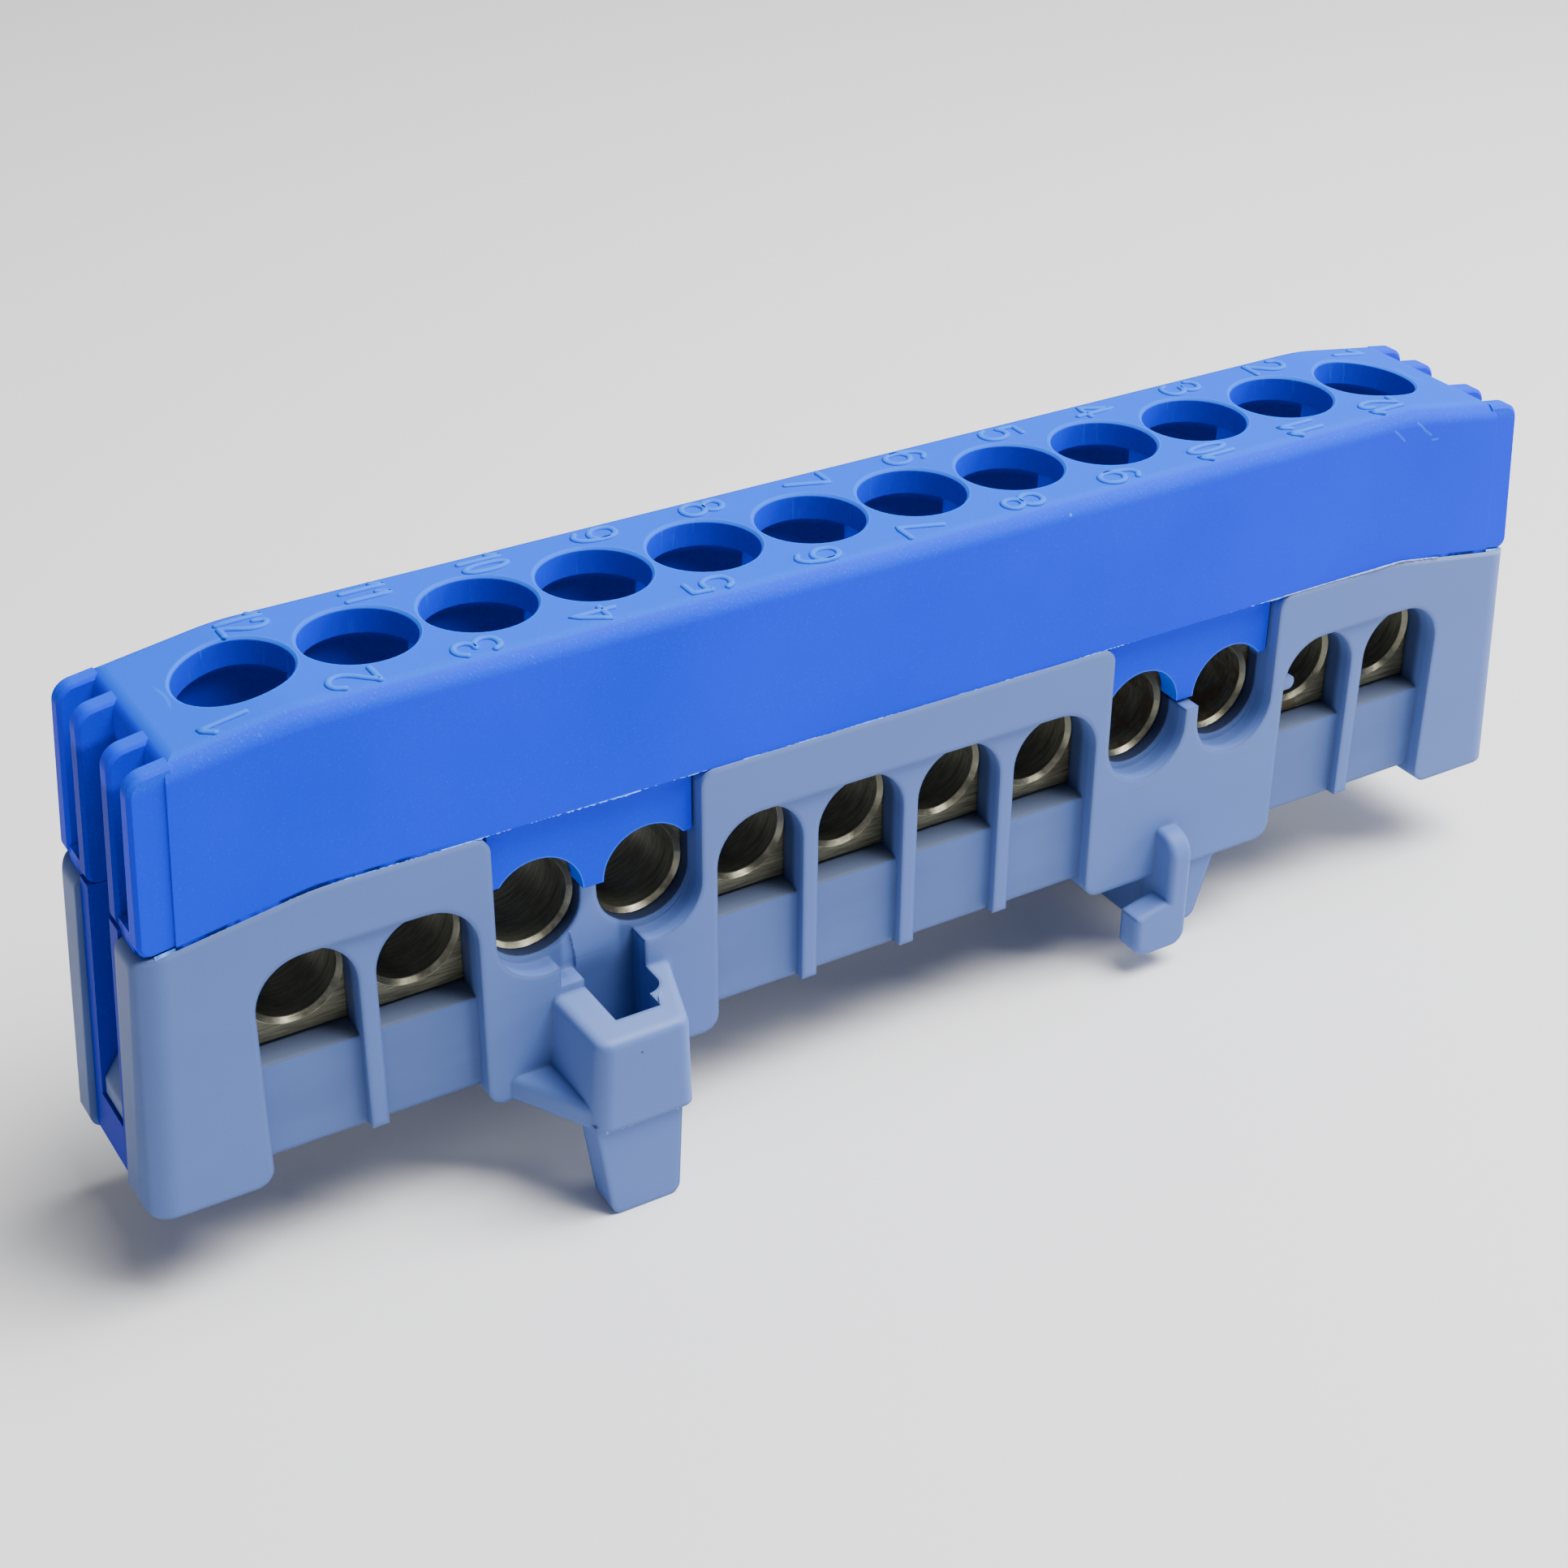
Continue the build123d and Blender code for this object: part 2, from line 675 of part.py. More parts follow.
def make_bar():
    """Metal bar with a cross hole for each wire and a tapped hole for each screw."""
    bar = Pos(0, 0, bar_bottom + bar_height / 2) * Box(2 * bar_half_length, bar_width, bar_height)
    bar = chamfer(bar.edges().filter_by(Axis.X), bar_edge_chamfer)
    depth = bar_top - wire_height
    for way in range(1, way_count + 1):
        bar -= cylinder_y(way_x(way), wire_height, wire_hole_radius, -bar_width, bar_width)
        bar -= Pos(way_x(way), 0, bar_top - depth / 2) * Cylinder(screw_radius + screw_running_gap, depth)
    mouths = [e for e in bar.edges() if e.geom_type == GeomType.CIRCLE
              and abs(abs(e.center().Y) - bar_width / 2) < 0.01]
    return chamfer(mouths, wire_hole_chamfer)


def make_screw(way):
    """Clamp screw of one way, backed off so that its tip clears the wire hole."""
    tip = wire_height + wire_hole_radius + screw_tip_clearance
    head_top = screw_shank_length + screw_head_height
    half = [(0, 0), (screw_radius - screw_tip_chamfer, 0), (screw_radius, screw_tip_chamfer),
            (screw_radius, screw_shank_length), (screw_head_radius, screw_shank_length),
            (screw_head_radius, head_top - screw_head_chamfer),
            (screw_head_radius - screw_head_chamfer, head_top), (0, head_top)]
    screw = revolve(Plane.XZ * make_face(Polyline(*half, close=True)), Axis.Z)
    screw -= Pos(0, 0, head_top) * Box(2 * screw_head_radius + 1, drive_slot_width, 2 * drive_slot_depth)
    return Pos(way_x(way), 0, tip) * screw


def main():
    """Writes one file for each piece."""
    os.makedirs("parts", exist_ok=True)
    export_step(make_cover(), "parts/cover.step")
    export_step(make_base(), "parts/base.step")
    export_step(make_bar(), "parts/terminal_bar.step")
    for way in range(1, way_count + 1):
        export_step(make_screw(way), f"parts/clamp_screw_{way:02d}.step")


main()
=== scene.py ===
"""Looks of the twelve-way neutral terminal bar.

Everything is in metres in the frame's own axes: X runs along the bar, -Y faces the camera's side, +Z is up.
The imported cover, base and bar keep their shapes and get finishes. The screws get threads, and the cover
gets its way numbers and the thin flash that moulding leaves.
"""
import math
import bpy
import numpy as np
from bpy.props import FloatProperty, FloatVectorProperty, IntProperty, PointerProperty
from mathutils import Matrix, Vector


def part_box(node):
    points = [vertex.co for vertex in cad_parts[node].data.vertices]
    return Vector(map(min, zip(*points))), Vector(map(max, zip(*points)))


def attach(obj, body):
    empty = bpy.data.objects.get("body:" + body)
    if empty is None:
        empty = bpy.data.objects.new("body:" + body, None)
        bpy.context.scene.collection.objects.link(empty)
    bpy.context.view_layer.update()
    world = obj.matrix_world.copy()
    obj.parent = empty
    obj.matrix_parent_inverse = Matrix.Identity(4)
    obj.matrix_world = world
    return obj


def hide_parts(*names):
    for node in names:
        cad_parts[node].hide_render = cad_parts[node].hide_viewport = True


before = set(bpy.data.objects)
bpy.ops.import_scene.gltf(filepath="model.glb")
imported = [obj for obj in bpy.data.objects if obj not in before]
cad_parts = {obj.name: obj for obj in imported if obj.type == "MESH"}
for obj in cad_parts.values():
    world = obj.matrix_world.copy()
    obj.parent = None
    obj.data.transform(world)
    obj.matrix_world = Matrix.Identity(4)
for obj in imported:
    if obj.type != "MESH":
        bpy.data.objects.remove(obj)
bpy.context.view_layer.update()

bl_info = {
    "name": "Terminal Bar Finishes",
    "version": (1, 0, 0),
    "blender": (4, 5, 0),
    "location": "3D View > Sidebar > Terminal Bar",
    "description": "Finishes, way numbers, screws and moulding flash of a neutral terminal bar",
    "category": "Object",
}

MM = 0.001
WAY_COUNT = 12
SCREW_BOXES = [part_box(f"clamp_screw_{way:02d}") for way in range(1, WAY_COUNT + 1)]
WAY_X = [(low[0] + high[0]) / 2 / MM for low, high in SCREW_BOXES]
PITCH = (WAY_X[-1] - WAY_X[0]) / (WAY_COUNT - 1)
COVER_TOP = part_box("cover")[1][2] / MM
BAR_LOW = [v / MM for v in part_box("terminal_bar")[0]]
SEAM_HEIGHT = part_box("base")[1][2] / MM
WIRE_HEIGHT = BAR_LOW[2] + 3.85
CROWN_HALF = WAY_X[-1] - 0.95
CROWN_SLOPE = math.radians(9.0)
CROWN_RADIUS = 15.0
ARCH_HEIGHT = WIRE_HEIGHT + 0.85
ARCH_RADIUS = 2.7
ACCESS_RADIUS = 3.0
WELL_RADIUS = 3.65
PLATE = 1.5
SIDE = 6.0
BASE_LOW = 5.75
LATCH_TOP = BASE_LOW + 5.75
LATCH_MID = (WAY_X[2] + WAY_X[3]) / 2
LATCH_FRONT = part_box("base")[1][1] / MM
PAST_LAST_WAY = WAY_X[-1] + 3.5

# Screw heads, in millimetres
HEAD_HEIGHT = 1.8
HEAD_MARGIN = 0.24
SLOT_WIDTH = 0.9
SLOT_DEPTH = 1.0

# Lights: size and place in metres
KEY_LIGHT = (0.3, (0.14, -0.1, 0.42))
RIM_LIGHT = (0.12, (0.35, -0.12, 0.12))

# The photograph's camera: angles in radians, focal length in widths of the picture, place in metres
CAMERA_HEADING = 0.5459
CAMERA_TILT = 0.5458
CAMERA_ROLL = -0.0064
CAMERA_FOCAL = 3256 / 1932
CAMERA_PLACE = (-0.07071, -0.10854, 0.09308)

# Small marks that the part has, in millimetres
COVER_SPECK = (9.85, -5.62, 31.4)
COVER_SCRATCHES = [
    ((33.15, -5.68, 31.15), (33.5, -5.68, 30.85)),
    ((33.5, -5.68, 30.85), (34.0, -5.69, 30.35)),
    ((34.9, -5.67, 31.3), (35.5, -5.68, 30.75)),
    ((35.45, -5.68, 30.75), (36.05, -5.69, 30.3)),
    ((36.2, -5.69, 29.95), (36.65, -5.69, 29.9)),
]
BASE_SPECK = (-20.1, -11.3, 10.4)

# Films of flash round a latch: points as (along from its middle, out, up), then the film's direction as
# (out, up), its reach, thickness, seed and bare part
LATCH_FLASH = [
    ([(-0.9, 4.5, 11.95), (-1.0, 4.5, 13.0), (-1.2, 4.5, 14.2)], (1, 0), 0.2, 0.22, 21, -0.5),
    ([(along, LATCH_FRONT - 0.08, BASE_LOW + 0.15) for along in (-2.8, 0.0, 1.6)], (0, -1),
     0.22, 0.14, 31, 0.2),
    ([(1.55, 9.3, 11.45), (1.7, 8.9, 11.45), (2.2, 8.4, 11.45)], (0, 1), 0.25, 0.1, 41, 0.0),
    ([(-1.15, 9.4, 11.45), (-1.15, 6.0, 11.45)], (0, 1), 0.1, 0.08, 51, 0.3),
]

# The last number of each row stands a little nearer to -X than the others do
LAST_NUMBER_SHIFT = {"near": (-0.35, 0.0), "far": (-0.08, 0.08)}


# Sizes and colours that a user would change

class HousingFinish(bpy.types.PropertyGroup):
    """Colours and grain of the two mouldings."""
    cover_colour: FloatVectorProperty(name="Cover blue", description="Colour of the upper moulding",
                                      subtype="COLOR", size=3, min=0, max=1, default=(0.0, 0.02, 0.75))
    # Painted sheen: the top's colour is lighter than the cover's blue and stands for the gloss that the flat
    # top reflects.
    top_colour: FloatVectorProperty(name="Cover top", description="Colour of the cover's flat top",
                                    subtype="COLOR", size=3, min=0, max=1, default=(0.0, 0.085, 0.75))
    base_colour: FloatVectorProperty(name="Base grey-blue", description="Colour of the lower moulding",
                                     subtype="COLOR", size=3, min=0, max=1, default=(0.07, 0.123, 0.33))
    # Also the pale of the painted highlights on the cover's hole rims and on the numbers' crests.
    flash_colour: FloatVectorProperty(name="Cover flash", description="Colour of thin flash on the cover",
                                      subtype="COLOR", size=3, min=0, max=1, default=(0.03, 0.26, 0.9))
    # Also the pale of the base's painted highlight at the seam's +X end and of the painted light on the latch
    # box's top.
    base_flash_colour: FloatVectorProperty(name="Base flash", description="Colour of thin flash on the base",
                                           subtype="COLOR", size=3, min=0, max=1, default=(0.22, 0.31, 0.52))
    grain: FloatProperty(name="Grain", description="Width of the surface grain", subtype="DISTANCE",
                         unit="LENGTH", min=0, default=0.12 * MM)
    grain_depth: FloatProperty(name="Grain depth", description="Depth of the surface grain",
                               subtype="DISTANCE", unit="LENGTH", min=0, default=0.006 * MM)


class BarFinish(bpy.types.PropertyGroup):
    """Colours of the plated metal."""
    bar_colour: FloatVectorProperty(name="Bar plating", description="Colour of the plated bar",
                                    subtype="COLOR", size=3, min=0, max=1, default=(0.15, 0.15, 0.105))
    tarnish_colour: FloatVectorProperty(name="Tarnish", description="Colour of the brownish tarnish",
                                        subtype="COLOR", size=3, min=0, max=1, default=(0.09, 0.055, 0.02))
    screw_colour: FloatVectorProperty(name="Screw plating", description="Colour of the plated screws",
                                      subtype="COLOR", size=3, min=0, max=1, default=(0.5, 0.5, 0.48))


class NumberSizes(bpy.types.PropertyGroup):
    """Sizes of the raised way numbers."""
    height: FloatProperty(name="Height", description="Height of a digit, along the bar", subtype="DISTANCE",
                          unit="LENGTH", min=0, default=2.35 * MM)
    width: FloatProperty(name="Width", description="Width of a digit", subtype="DISTANCE", unit="LENGTH",
                         min=0, default=1.3 * MM)
    stroke: FloatProperty(name="Stroke", description="Width of a digit's raised line", subtype="DISTANCE",
                          unit="LENGTH", min=0, default=0.38 * MM)
    rise: FloatProperty(name="Rise", description="How far the line stands up", subtype="DISTANCE",
                        unit="LENGTH", min=0, default=0.14 * MM)
    offset_along: FloatProperty(name="Offset along",
                                description="From a hole's centre to its number, along the bar",
                                subtype="DISTANCE", unit="LENGTH", default=2.07 * MM)
    offset_near: FloatProperty(name="Near offset", description="From the bar's middle to the near row",
                               subtype="DISTANCE", unit="LENGTH", default=4.15 * MM)
    offset_far: FloatProperty(name="Far offset", description="From the bar's middle to the far row",
                              subtype="DISTANCE", unit="LENGTH", default=3.88 * MM)
    spacing: FloatProperty(name="Spacing", description="Step between the digits of one number",
                           subtype="DISTANCE", unit="LENGTH", min=0, default=0.95 * MM)


class ScrewSizes(bpy.types.PropertyGroup):
    """Sizes of the clamp screws' threads."""
    thread_pitch: FloatProperty(name="Thread pitch", description="Rise of the thread in one turn",
                                subtype="DISTANCE", unit="LENGTH", min=0, default=0.8 * MM)
    thread_depth: FloatProperty(name="Thread depth", description="Depth of the thread", subtype="DISTANCE",
                                unit="LENGTH", min=0, default=0.4 * MM)
    steps: IntProperty(name="Steps", description="Steps round a screw", min=12, max=96, default=40)


class StageSettings(bpy.types.PropertyGroup):
    """Floor and light of the studio."""
    floor_colour: FloatVectorProperty(name="Floor", description="Colour of the floor", subtype="COLOR",
                                      size=3, min=0, max=1, default=(0.8, 0.8, 0.8))
    glow: FloatProperty(name="Floor glow", description="Light that the floor gives off itself", min=0,
                        default=0.0)
    ambient: FloatProperty(name="Ambient", description="Strength of the even light", min=0, default=0.25)
    key: FloatProperty(name="Key light", description="Power of the soft light above", unit="POWER", min=0,
                       default=5.6)
    rim: FloatProperty(name="Rim light", description="Power of the light beyond the far end", unit="POWER",
                       min=0, default=0.8)


# Shader maths

class Value:
    """A shader socket that adds a Math node for each sum that Python does with it."""

    def __init__(self, graph, socket):
        self.graph = graph
        self.socket = socket

    def maths(self, operation, first, second=0.0, clamp=False):
        """The Math node of one operation on two values."""
        settings = {"operation": operation, "use_clamp": clamp}
        return self.graph.add("ShaderNodeMath", settings, {0: first, 1: second})[0]

    def __add__(self, other):
        return self.maths("ADD", self, other)

    def __radd__(self, other):
        return self.maths("ADD", other, self)

    def __sub__(self, other):
        return self.maths("SUBTRACT", self, other)

    def __rsub__(self, other):
        return self.maths("SUBTRACT", other, self)

    def __mul__(self, other):
        return self.maths("MULTIPLY", self, other)

    def __rmul__(self, other):
        return self.maths("MULTIPLY", other, self)

    def __truediv__(self, other):
        return self.maths("DIVIDE", self, other)

    def __rtruediv__(self, other):
        return self.maths("DIVIDE", other, self)

    def __pow__(self, other):
        return self.maths("POWER", self, other)

    def __mod__(self, other):
        return self.maths("FLOORED_MODULO", self, other)

    def __abs__(self):
        return self.maths("ABSOLUTE", self)

    def least(self, other):
        """The smaller of two values."""
        return self.maths("MINIMUM", self, other)

    def most(self, other):
        """The larger of two values."""
        return self.maths("MAXIMUM", self, other)

    def ramp(self, low, high):
        """0 below low, 1 above high and a smooth step between them. low may be above high."""
        values = {"Value": self, "From Min": low, "From Max": high, "To Min": 0.0, "To Max": 1.0}
        return self.graph.add("ShaderNodeMapRange", {"interpolation_type": "SMOOTHSTEP"}, values)["Result"]


class Placed:
    """A node whose outputs are read as values."""

    def __init__(self, graph, node):
        self.graph = graph
        self.node = node

    def __getitem__(self, key):
        return Value(self.graph, self.node.outputs[key])


class Finish:
    """One material, built from nodes on Object coordinates in millimetres."""

    def __init__(self, name):
        self.material = bpy.data.materials.new(name)
        self.material.use_nodes = True
        self.tree = self.material.node_tree
        self.shader = self.tree.nodes["Principled BSDF"]
        place = self.add("ShaderNodeTexCoord", {}, {})["Object"]
        self.place = self.scaled(place, (1 / MM, 1 / MM, 1 / MM))
        axes = self.add("ShaderNodeSeparateXYZ", {}, {"Vector": self.place})
        self.x = axes["X"]
        self.y = axes["Y"]
        self.z = axes["Z"]

    def add(self, kind, settings, values):
        """A node of one type, with its settings made first and then its sockets' values and links."""
        node = self.tree.nodes.new(kind)
        for name, setting in settings.items():
            setattr(node, name, setting)
        for key, value in values.items():
            self.feed(node.inputs[key], value)
        return Placed(self, node)

    def feed(self, socket, value):
        """Links a value to a socket, or sets a plain number or colour on it."""
        if isinstance(value, Value):
            self.tree.links.new(value.socket, socket)
        else:
            socket.default_value = value

    def scaled(self, vector, factors):
        """A vector times another, axis by axis."""
        return self.add("ShaderNodeVectorMath", {"operation": "MULTIPLY"}, {0: vector, 1: factors})[0]

    def vector(self, x, y, z):
        """A vector made of three values."""
        return self.add("ShaderNodeCombineXYZ", {}, {"X": x, "Y": y, "Z": z})["Vector"]

    def noise(self, width, detail=2.0, place=None, roughness=0.5):
        """Noise from 0 to 1 whose features are about `width` millimetres wide."""
        values = {"Vector": place or self.place, "Scale": 1 / width, "Detail": detail, "Roughness": roughness}
        return self.add("ShaderNodeTexNoise", {}, values)["Fac"]

    def mix(self, first, second, factor):
        """Colour that goes from first to second as the factor goes from 0 to 1."""
        return self.add("ShaderNodeMix", {"data_type": "RGBA"}, {0: factor, 6: first, 7: second})[2]

    def spot(self, centre, radius):
        """1 within a radius of a point and 0 outside it, with a soft edge."""
        ends = {0: self.place, 1: centre}
        away = self.add("ShaderNodeVectorMath", {"operation": "DISTANCE"}, ends)["Value"]
        return away.ramp(radius * 1.3, radius * 0.7)

    def scratch(self, start, end, width):
        """1 on a straight scratch and 0 off it: the distance to the nearest point of the segment."""
        a = Vector(start)
        run = Vector(end) - a
        steps = {"operation": "DOT_PRODUCT"}
        shifted = self.add("ShaderNodeVectorMath", {"operation": "SUBTRACT"}, {0: self.place, 1: a})[0]
        along = self.add("ShaderNodeVectorMath", steps, {0: shifted, 1: run / run.length_squared})["Value"]
        along = along.most(0.0).least(1.0)
        nearest = self.add("ShaderNodeVectorMath", {"operation": "SCALE"}, {0: run, "Scale": along})[0]
        away = self.add("ShaderNodeVectorMath", {"operation": "DISTANCE"}, {0: shifted, 1: nearest})["Value"]
        return away.ramp(width, width * 0.4)

    def rounded(self, radius):
        """Normal of a surface whose sharp edges are rounded by a radius in millimetres."""
        return self.add("ShaderNodeBevel", {"samples": 4}, {"Radius": radius * MM})["Normal"]

    def bumps(self, height, distance, normal=None):
        """Normal bent by a height from 0 to 1 that stands for `distance` metres."""
        values = {"Height": height, "Distance": distance, "Strength": 1.0}
        if normal is not None:
            values["Normal"] = normal
        return self.add("ShaderNodeBump", {}, values)["Normal"]

    def surface(self, **sockets):
        """Feeds the shader's sockets, named with underscores for their spaces."""
        for name, value in sockets.items():
            self.feed(self.shader.inputs[name.replace("_", " ")], value)
        return self.material


def shade(colour, factor):
    """Opaque colour times a factor, held in range."""
    return tuple(min(1.0, channel * factor) for channel in colour) + (1.0,)


def toward_white(colour, part):
    """Opaque colour moved towards white by a part of the way."""
    return tuple(channel + (1.0 - channel) * part for channel in colour) + (1.0,)


def settings_of(context, name):
    """One group of the scene's settings."""
    return getattr(context.scene, name)


# Materials

def crown_fall(m):
    """How far the cover's top lies below its middle, as a straight fall beyond each bend."""
    return (abs(m.x) - CROWN_HALF).most(0.0) * math.tan(CROWN_SLOPE)


def cover_material(finish):
    """Blue moulded plastic: grain, a rubbed band of pale specks along the top edges, painted sheen on the
    flat top and partly on that band, painted highlights on the hole rims and the numbers' crests, painted
    shade in the wells and in the seam gap near the ends, and a few scratches.
    """
    m = Finish("cover_blue_plastic")
    colour = tuple(finish.cover_colour)
    # Pale for grain, specks, streaks in the holes, scratches and flash on the tongue arcs, and for the
    # painted highlights on the hole rims and the numbers' crests.
    pale = tuple(finish.flash_colour) + (1.0,)
    grain = m.noise(finish.grain / MM, 3.0, roughness=0.7)
    clouds = m.noise(14.0, 3.0)
    level = m.z + crown_fall(m)
    band = abs(m.y).ramp(4.5, 4.95) * level.ramp(COVER_TOP - 1.2, COVER_TOP - 0.5)
    specks = m.noise(0.16, 2.0, roughness=0.8).ramp(0.52, 0.72) * band
    across = m.x % PITCH - PITCH / 2
    radius = (across * across + m.y * m.y) ** 0.5
    top = level.ramp(COVER_TOP - 0.3, COVER_TOP - 0.03)
    inside = abs(m.x).ramp(CROWN_HALF + 4.6, CROWN_HALF + 4.4)
    edge = radius - ACCESS_RADIUS
    # Painted highlight: a pale ring on the chamfer round each access hole in the top.
    rim = edge.ramp(0.01, 0.06) * edge.ramp(0.24, 0.16) * top * inside
    # Painted highlight: the crests of the raised numbers, which use this material, turn pale.
    crest = level.ramp(COVER_TOP + 0.03, COVER_TOP + 0.12)
    lift = m.z - ARCH_HEIGHT
    reach = (across * across + lift * lift) ** 0.5 - ARCH_RADIUS
    arch = reach.ramp(0.04, -0.01) * abs(m.y).ramp(3.8, 3.9) * inside
    ends = m.x.ramp(-27.0, -31.0).most(m.x.ramp(36.5, 39.0))
    above = level - SEAM_HEIGHT
    seam_gap_shadow = above.ramp(0.26, 0.14) * above.ramp(-0.3, -0.2) * abs(m.y).ramp(4.9, 5.1) * ends
    seam_gap_shadow = seam_gap_shadow * m.noise(1.2, 3.0).ramp(0.3, 0.55)
    under_plate = level - (COVER_TOP - PLATE)
    in_hole = edge.ramp(0.05, 0.01) * under_plate.ramp(0.0, 0.2) * inside
    well_painted_shade = radius.ramp(WELL_RADIUS + 0.15, WELL_RADIUS + 0.05) * under_plate.ramp(-0.1, -0.7)
    drawn = m.noise(0.3, 3.0, m.scaled(m.place, (1.0, 1.0, 0.08)), roughness=0.7).ramp(0.6, 0.72)
    marks = m.spot(COVER_SPECK, 0.09)
    for start, end in COVER_SCRATCHES:
        marks = marks.most(m.scratch(start, end, 0.09) * 0.4)
    tone = m.mix(shade(colour, 0.94), shade(colour, 1.06), clouds.ramp(0.3, 0.7))
    # Painted shade: the wells below the plate are darkened to about half.
    tone = m.mix(tone, shade(colour, 0.55), well_painted_shade)
    # Painted sheen: the flat top, and partly the rubbed band along its edges, take the lighter top colour in
    # place of a gloss reflection.
    tone = m.mix(tone, tuple(finish.top_colour) + (1.0,), top.most(band * 0.35))
    tone = m.mix(tone, pale, (grain.ramp(0.52, 0.8) * 0.14 + specks * 0.2 + in_hole * drawn * 0.3 + rim * 0.25
                              + crest * 0.4 + arch * 0.35 + marks * 0.8).least(1.0))
    # Painted shadow: a ragged dark line in the gap just above the seam, near both ends.
    tone = m.mix(tone, (0.0, 0.006, 0.1, 1.0), seam_gap_shadow)
    rough = 0.42 + 0.12 * grain + 0.1 * band - 0.12 * in_hole
    normal = m.bumps(grain + 2.0 * specks, finish.grain_depth, m.rounded(0.05))
    return m.surface(Base_Color=tone, Roughness=rough, Normal=normal, Specular_IOR_Level=0.04)


def base_material(finish):
    """Grey-blue moulded plastic: fine grain, flow clouds, paler edges at the seam that grow into a painted
    highlight towards +X, painted light on the outer faces, the latch box's top and the latch pillar, painted
    shadow round the holes and on the window reveals, a painted reflection of the bar on the sills, and one
    dark speck.
    """
    m = Finish("base_grey_plastic")
    colour = tuple(finish.base_colour)
    grain = m.noise(finish.grain / MM, 3.0, roughness=0.7)
    clouds = m.noise(6.0, 4.0, m.scaled(m.place, (0.5, 1.0, 1.5)))
    seam = (m.z + crown_fall(m)).ramp(SEAM_HEIGHT - 0.35, SEAM_HEIGHT - 0.05)
    # Painted light: the latch box's flat top is made paler.
    box_top_painted_light = abs(m.y).ramp(SIDE + 0.1, SIDE + 0.4) * m.z.ramp(LATCH_TOP - 0.3, LATCH_TOP - 0.05)
    sill_reflection = m.z.ramp(BAR_LOW[2] - 0.02, BAR_LOW[2] - 0.01) * m.z.ramp(BAR_LOW[2] + 0.02, BAR_LOW[2] + 0.01)
    outer_painted_light = abs(m.y).ramp(SIDE - 0.8, SIDE - 0.5) * 0.75
    across = m.x % PITCH - PITCH / 2
    rise = m.z - WIRE_HEIGHT
    radius = (across * across + rise * rise) ** 0.5
    pillar_painted_light = abs(m.x - LATCH_MID).ramp(1.9, 1.5) * m.z.ramp(11.0, 13.0) * abs(m.y).ramp(4.0, 4.2)
    # Painted shadow: the inner layer round each hole in the latch bays, and the window reveals of the other
    # ways, are darkened.
    shadow = radius.ramp(3.45, 3.2) * abs(m.y).ramp(4.5, 4.3) * m.z.ramp(BAR_LOW[2], BAR_LOW[2] + 0.3)
    bay = abs(abs(m.x) + LATCH_MID).ramp(6.3, 6.1)
    reveal_shadow = abs(across).ramp(2.2, 2.5) * abs(m.y).ramp(5.0, 4.4)
    reveal_shadow = reveal_shadow * m.z.ramp(BAR_LOW[2] + 0.05, BAR_LOW[2] + 0.15)
    shadow = (shadow * bay * 0.85).most(reveal_shadow * (1 - bay) * 0.62)
    shadow = shadow * abs(m.x).ramp(PAST_LAST_WAY, PAST_LAST_WAY - 0.2)
    # Painted highlight: the paler seam edge grows much stronger towards the +X end.
    seam = seam * (0.2 + 0.6 * m.x.ramp(33.0, 37.0))
    tone = m.mix(shade(colour, 0.93), shade(colour, 1.07), clouds.ramp(0.3, 0.7))
    # Painted light: the outer faces are lighter than the recessed panels between them.
    tone = m.mix(tone, shade(colour, 1.28), outer_painted_light)
    # Painted light: the latch pillar's face between ways 3 and 4 is much lighter.
    tone = m.mix(tone, shade(colour, 1.7), pillar_painted_light * 0.8)
    # Painted shadow: near black round the holes and on the reveals, standing in for the bar's shaded face and
    # the reveals' shade.
    tone = m.mix(tone, (0.012, 0.014, 0.022, 1.0), shadow)
    # Pale grain flecks, the paler seam edge with its painted highlight towards +X, and painted light on the
    # latch box's top.
    tone = m.mix(tone, tuple(finish.base_flash_colour) + (1.0,),
                 (grain.ramp(0.55, 0.8) * 0.1 + seam + box_top_painted_light * 0.35).least(1.0))
    # Painted reflection of the plated bar: the flat sills level with the bar's underside are greyed.
    tone = m.mix(tone, (0.12, 0.14, 0.165, 1.0), sill_reflection * 0.7)
    tone = m.mix(tone, (0.03, 0.03, 0.04, 1.0), m.spot(BASE_SPECK, 0.07) * 0.8)
    rough = 0.4 + 0.15 * grain
    normal = m.bumps(grain, finish.grain_depth, m.rounded(0.42))
    return m.surface(Base_Color=tone, Roughness=rough, Normal=normal, Specular_IOR_Level=0.2)


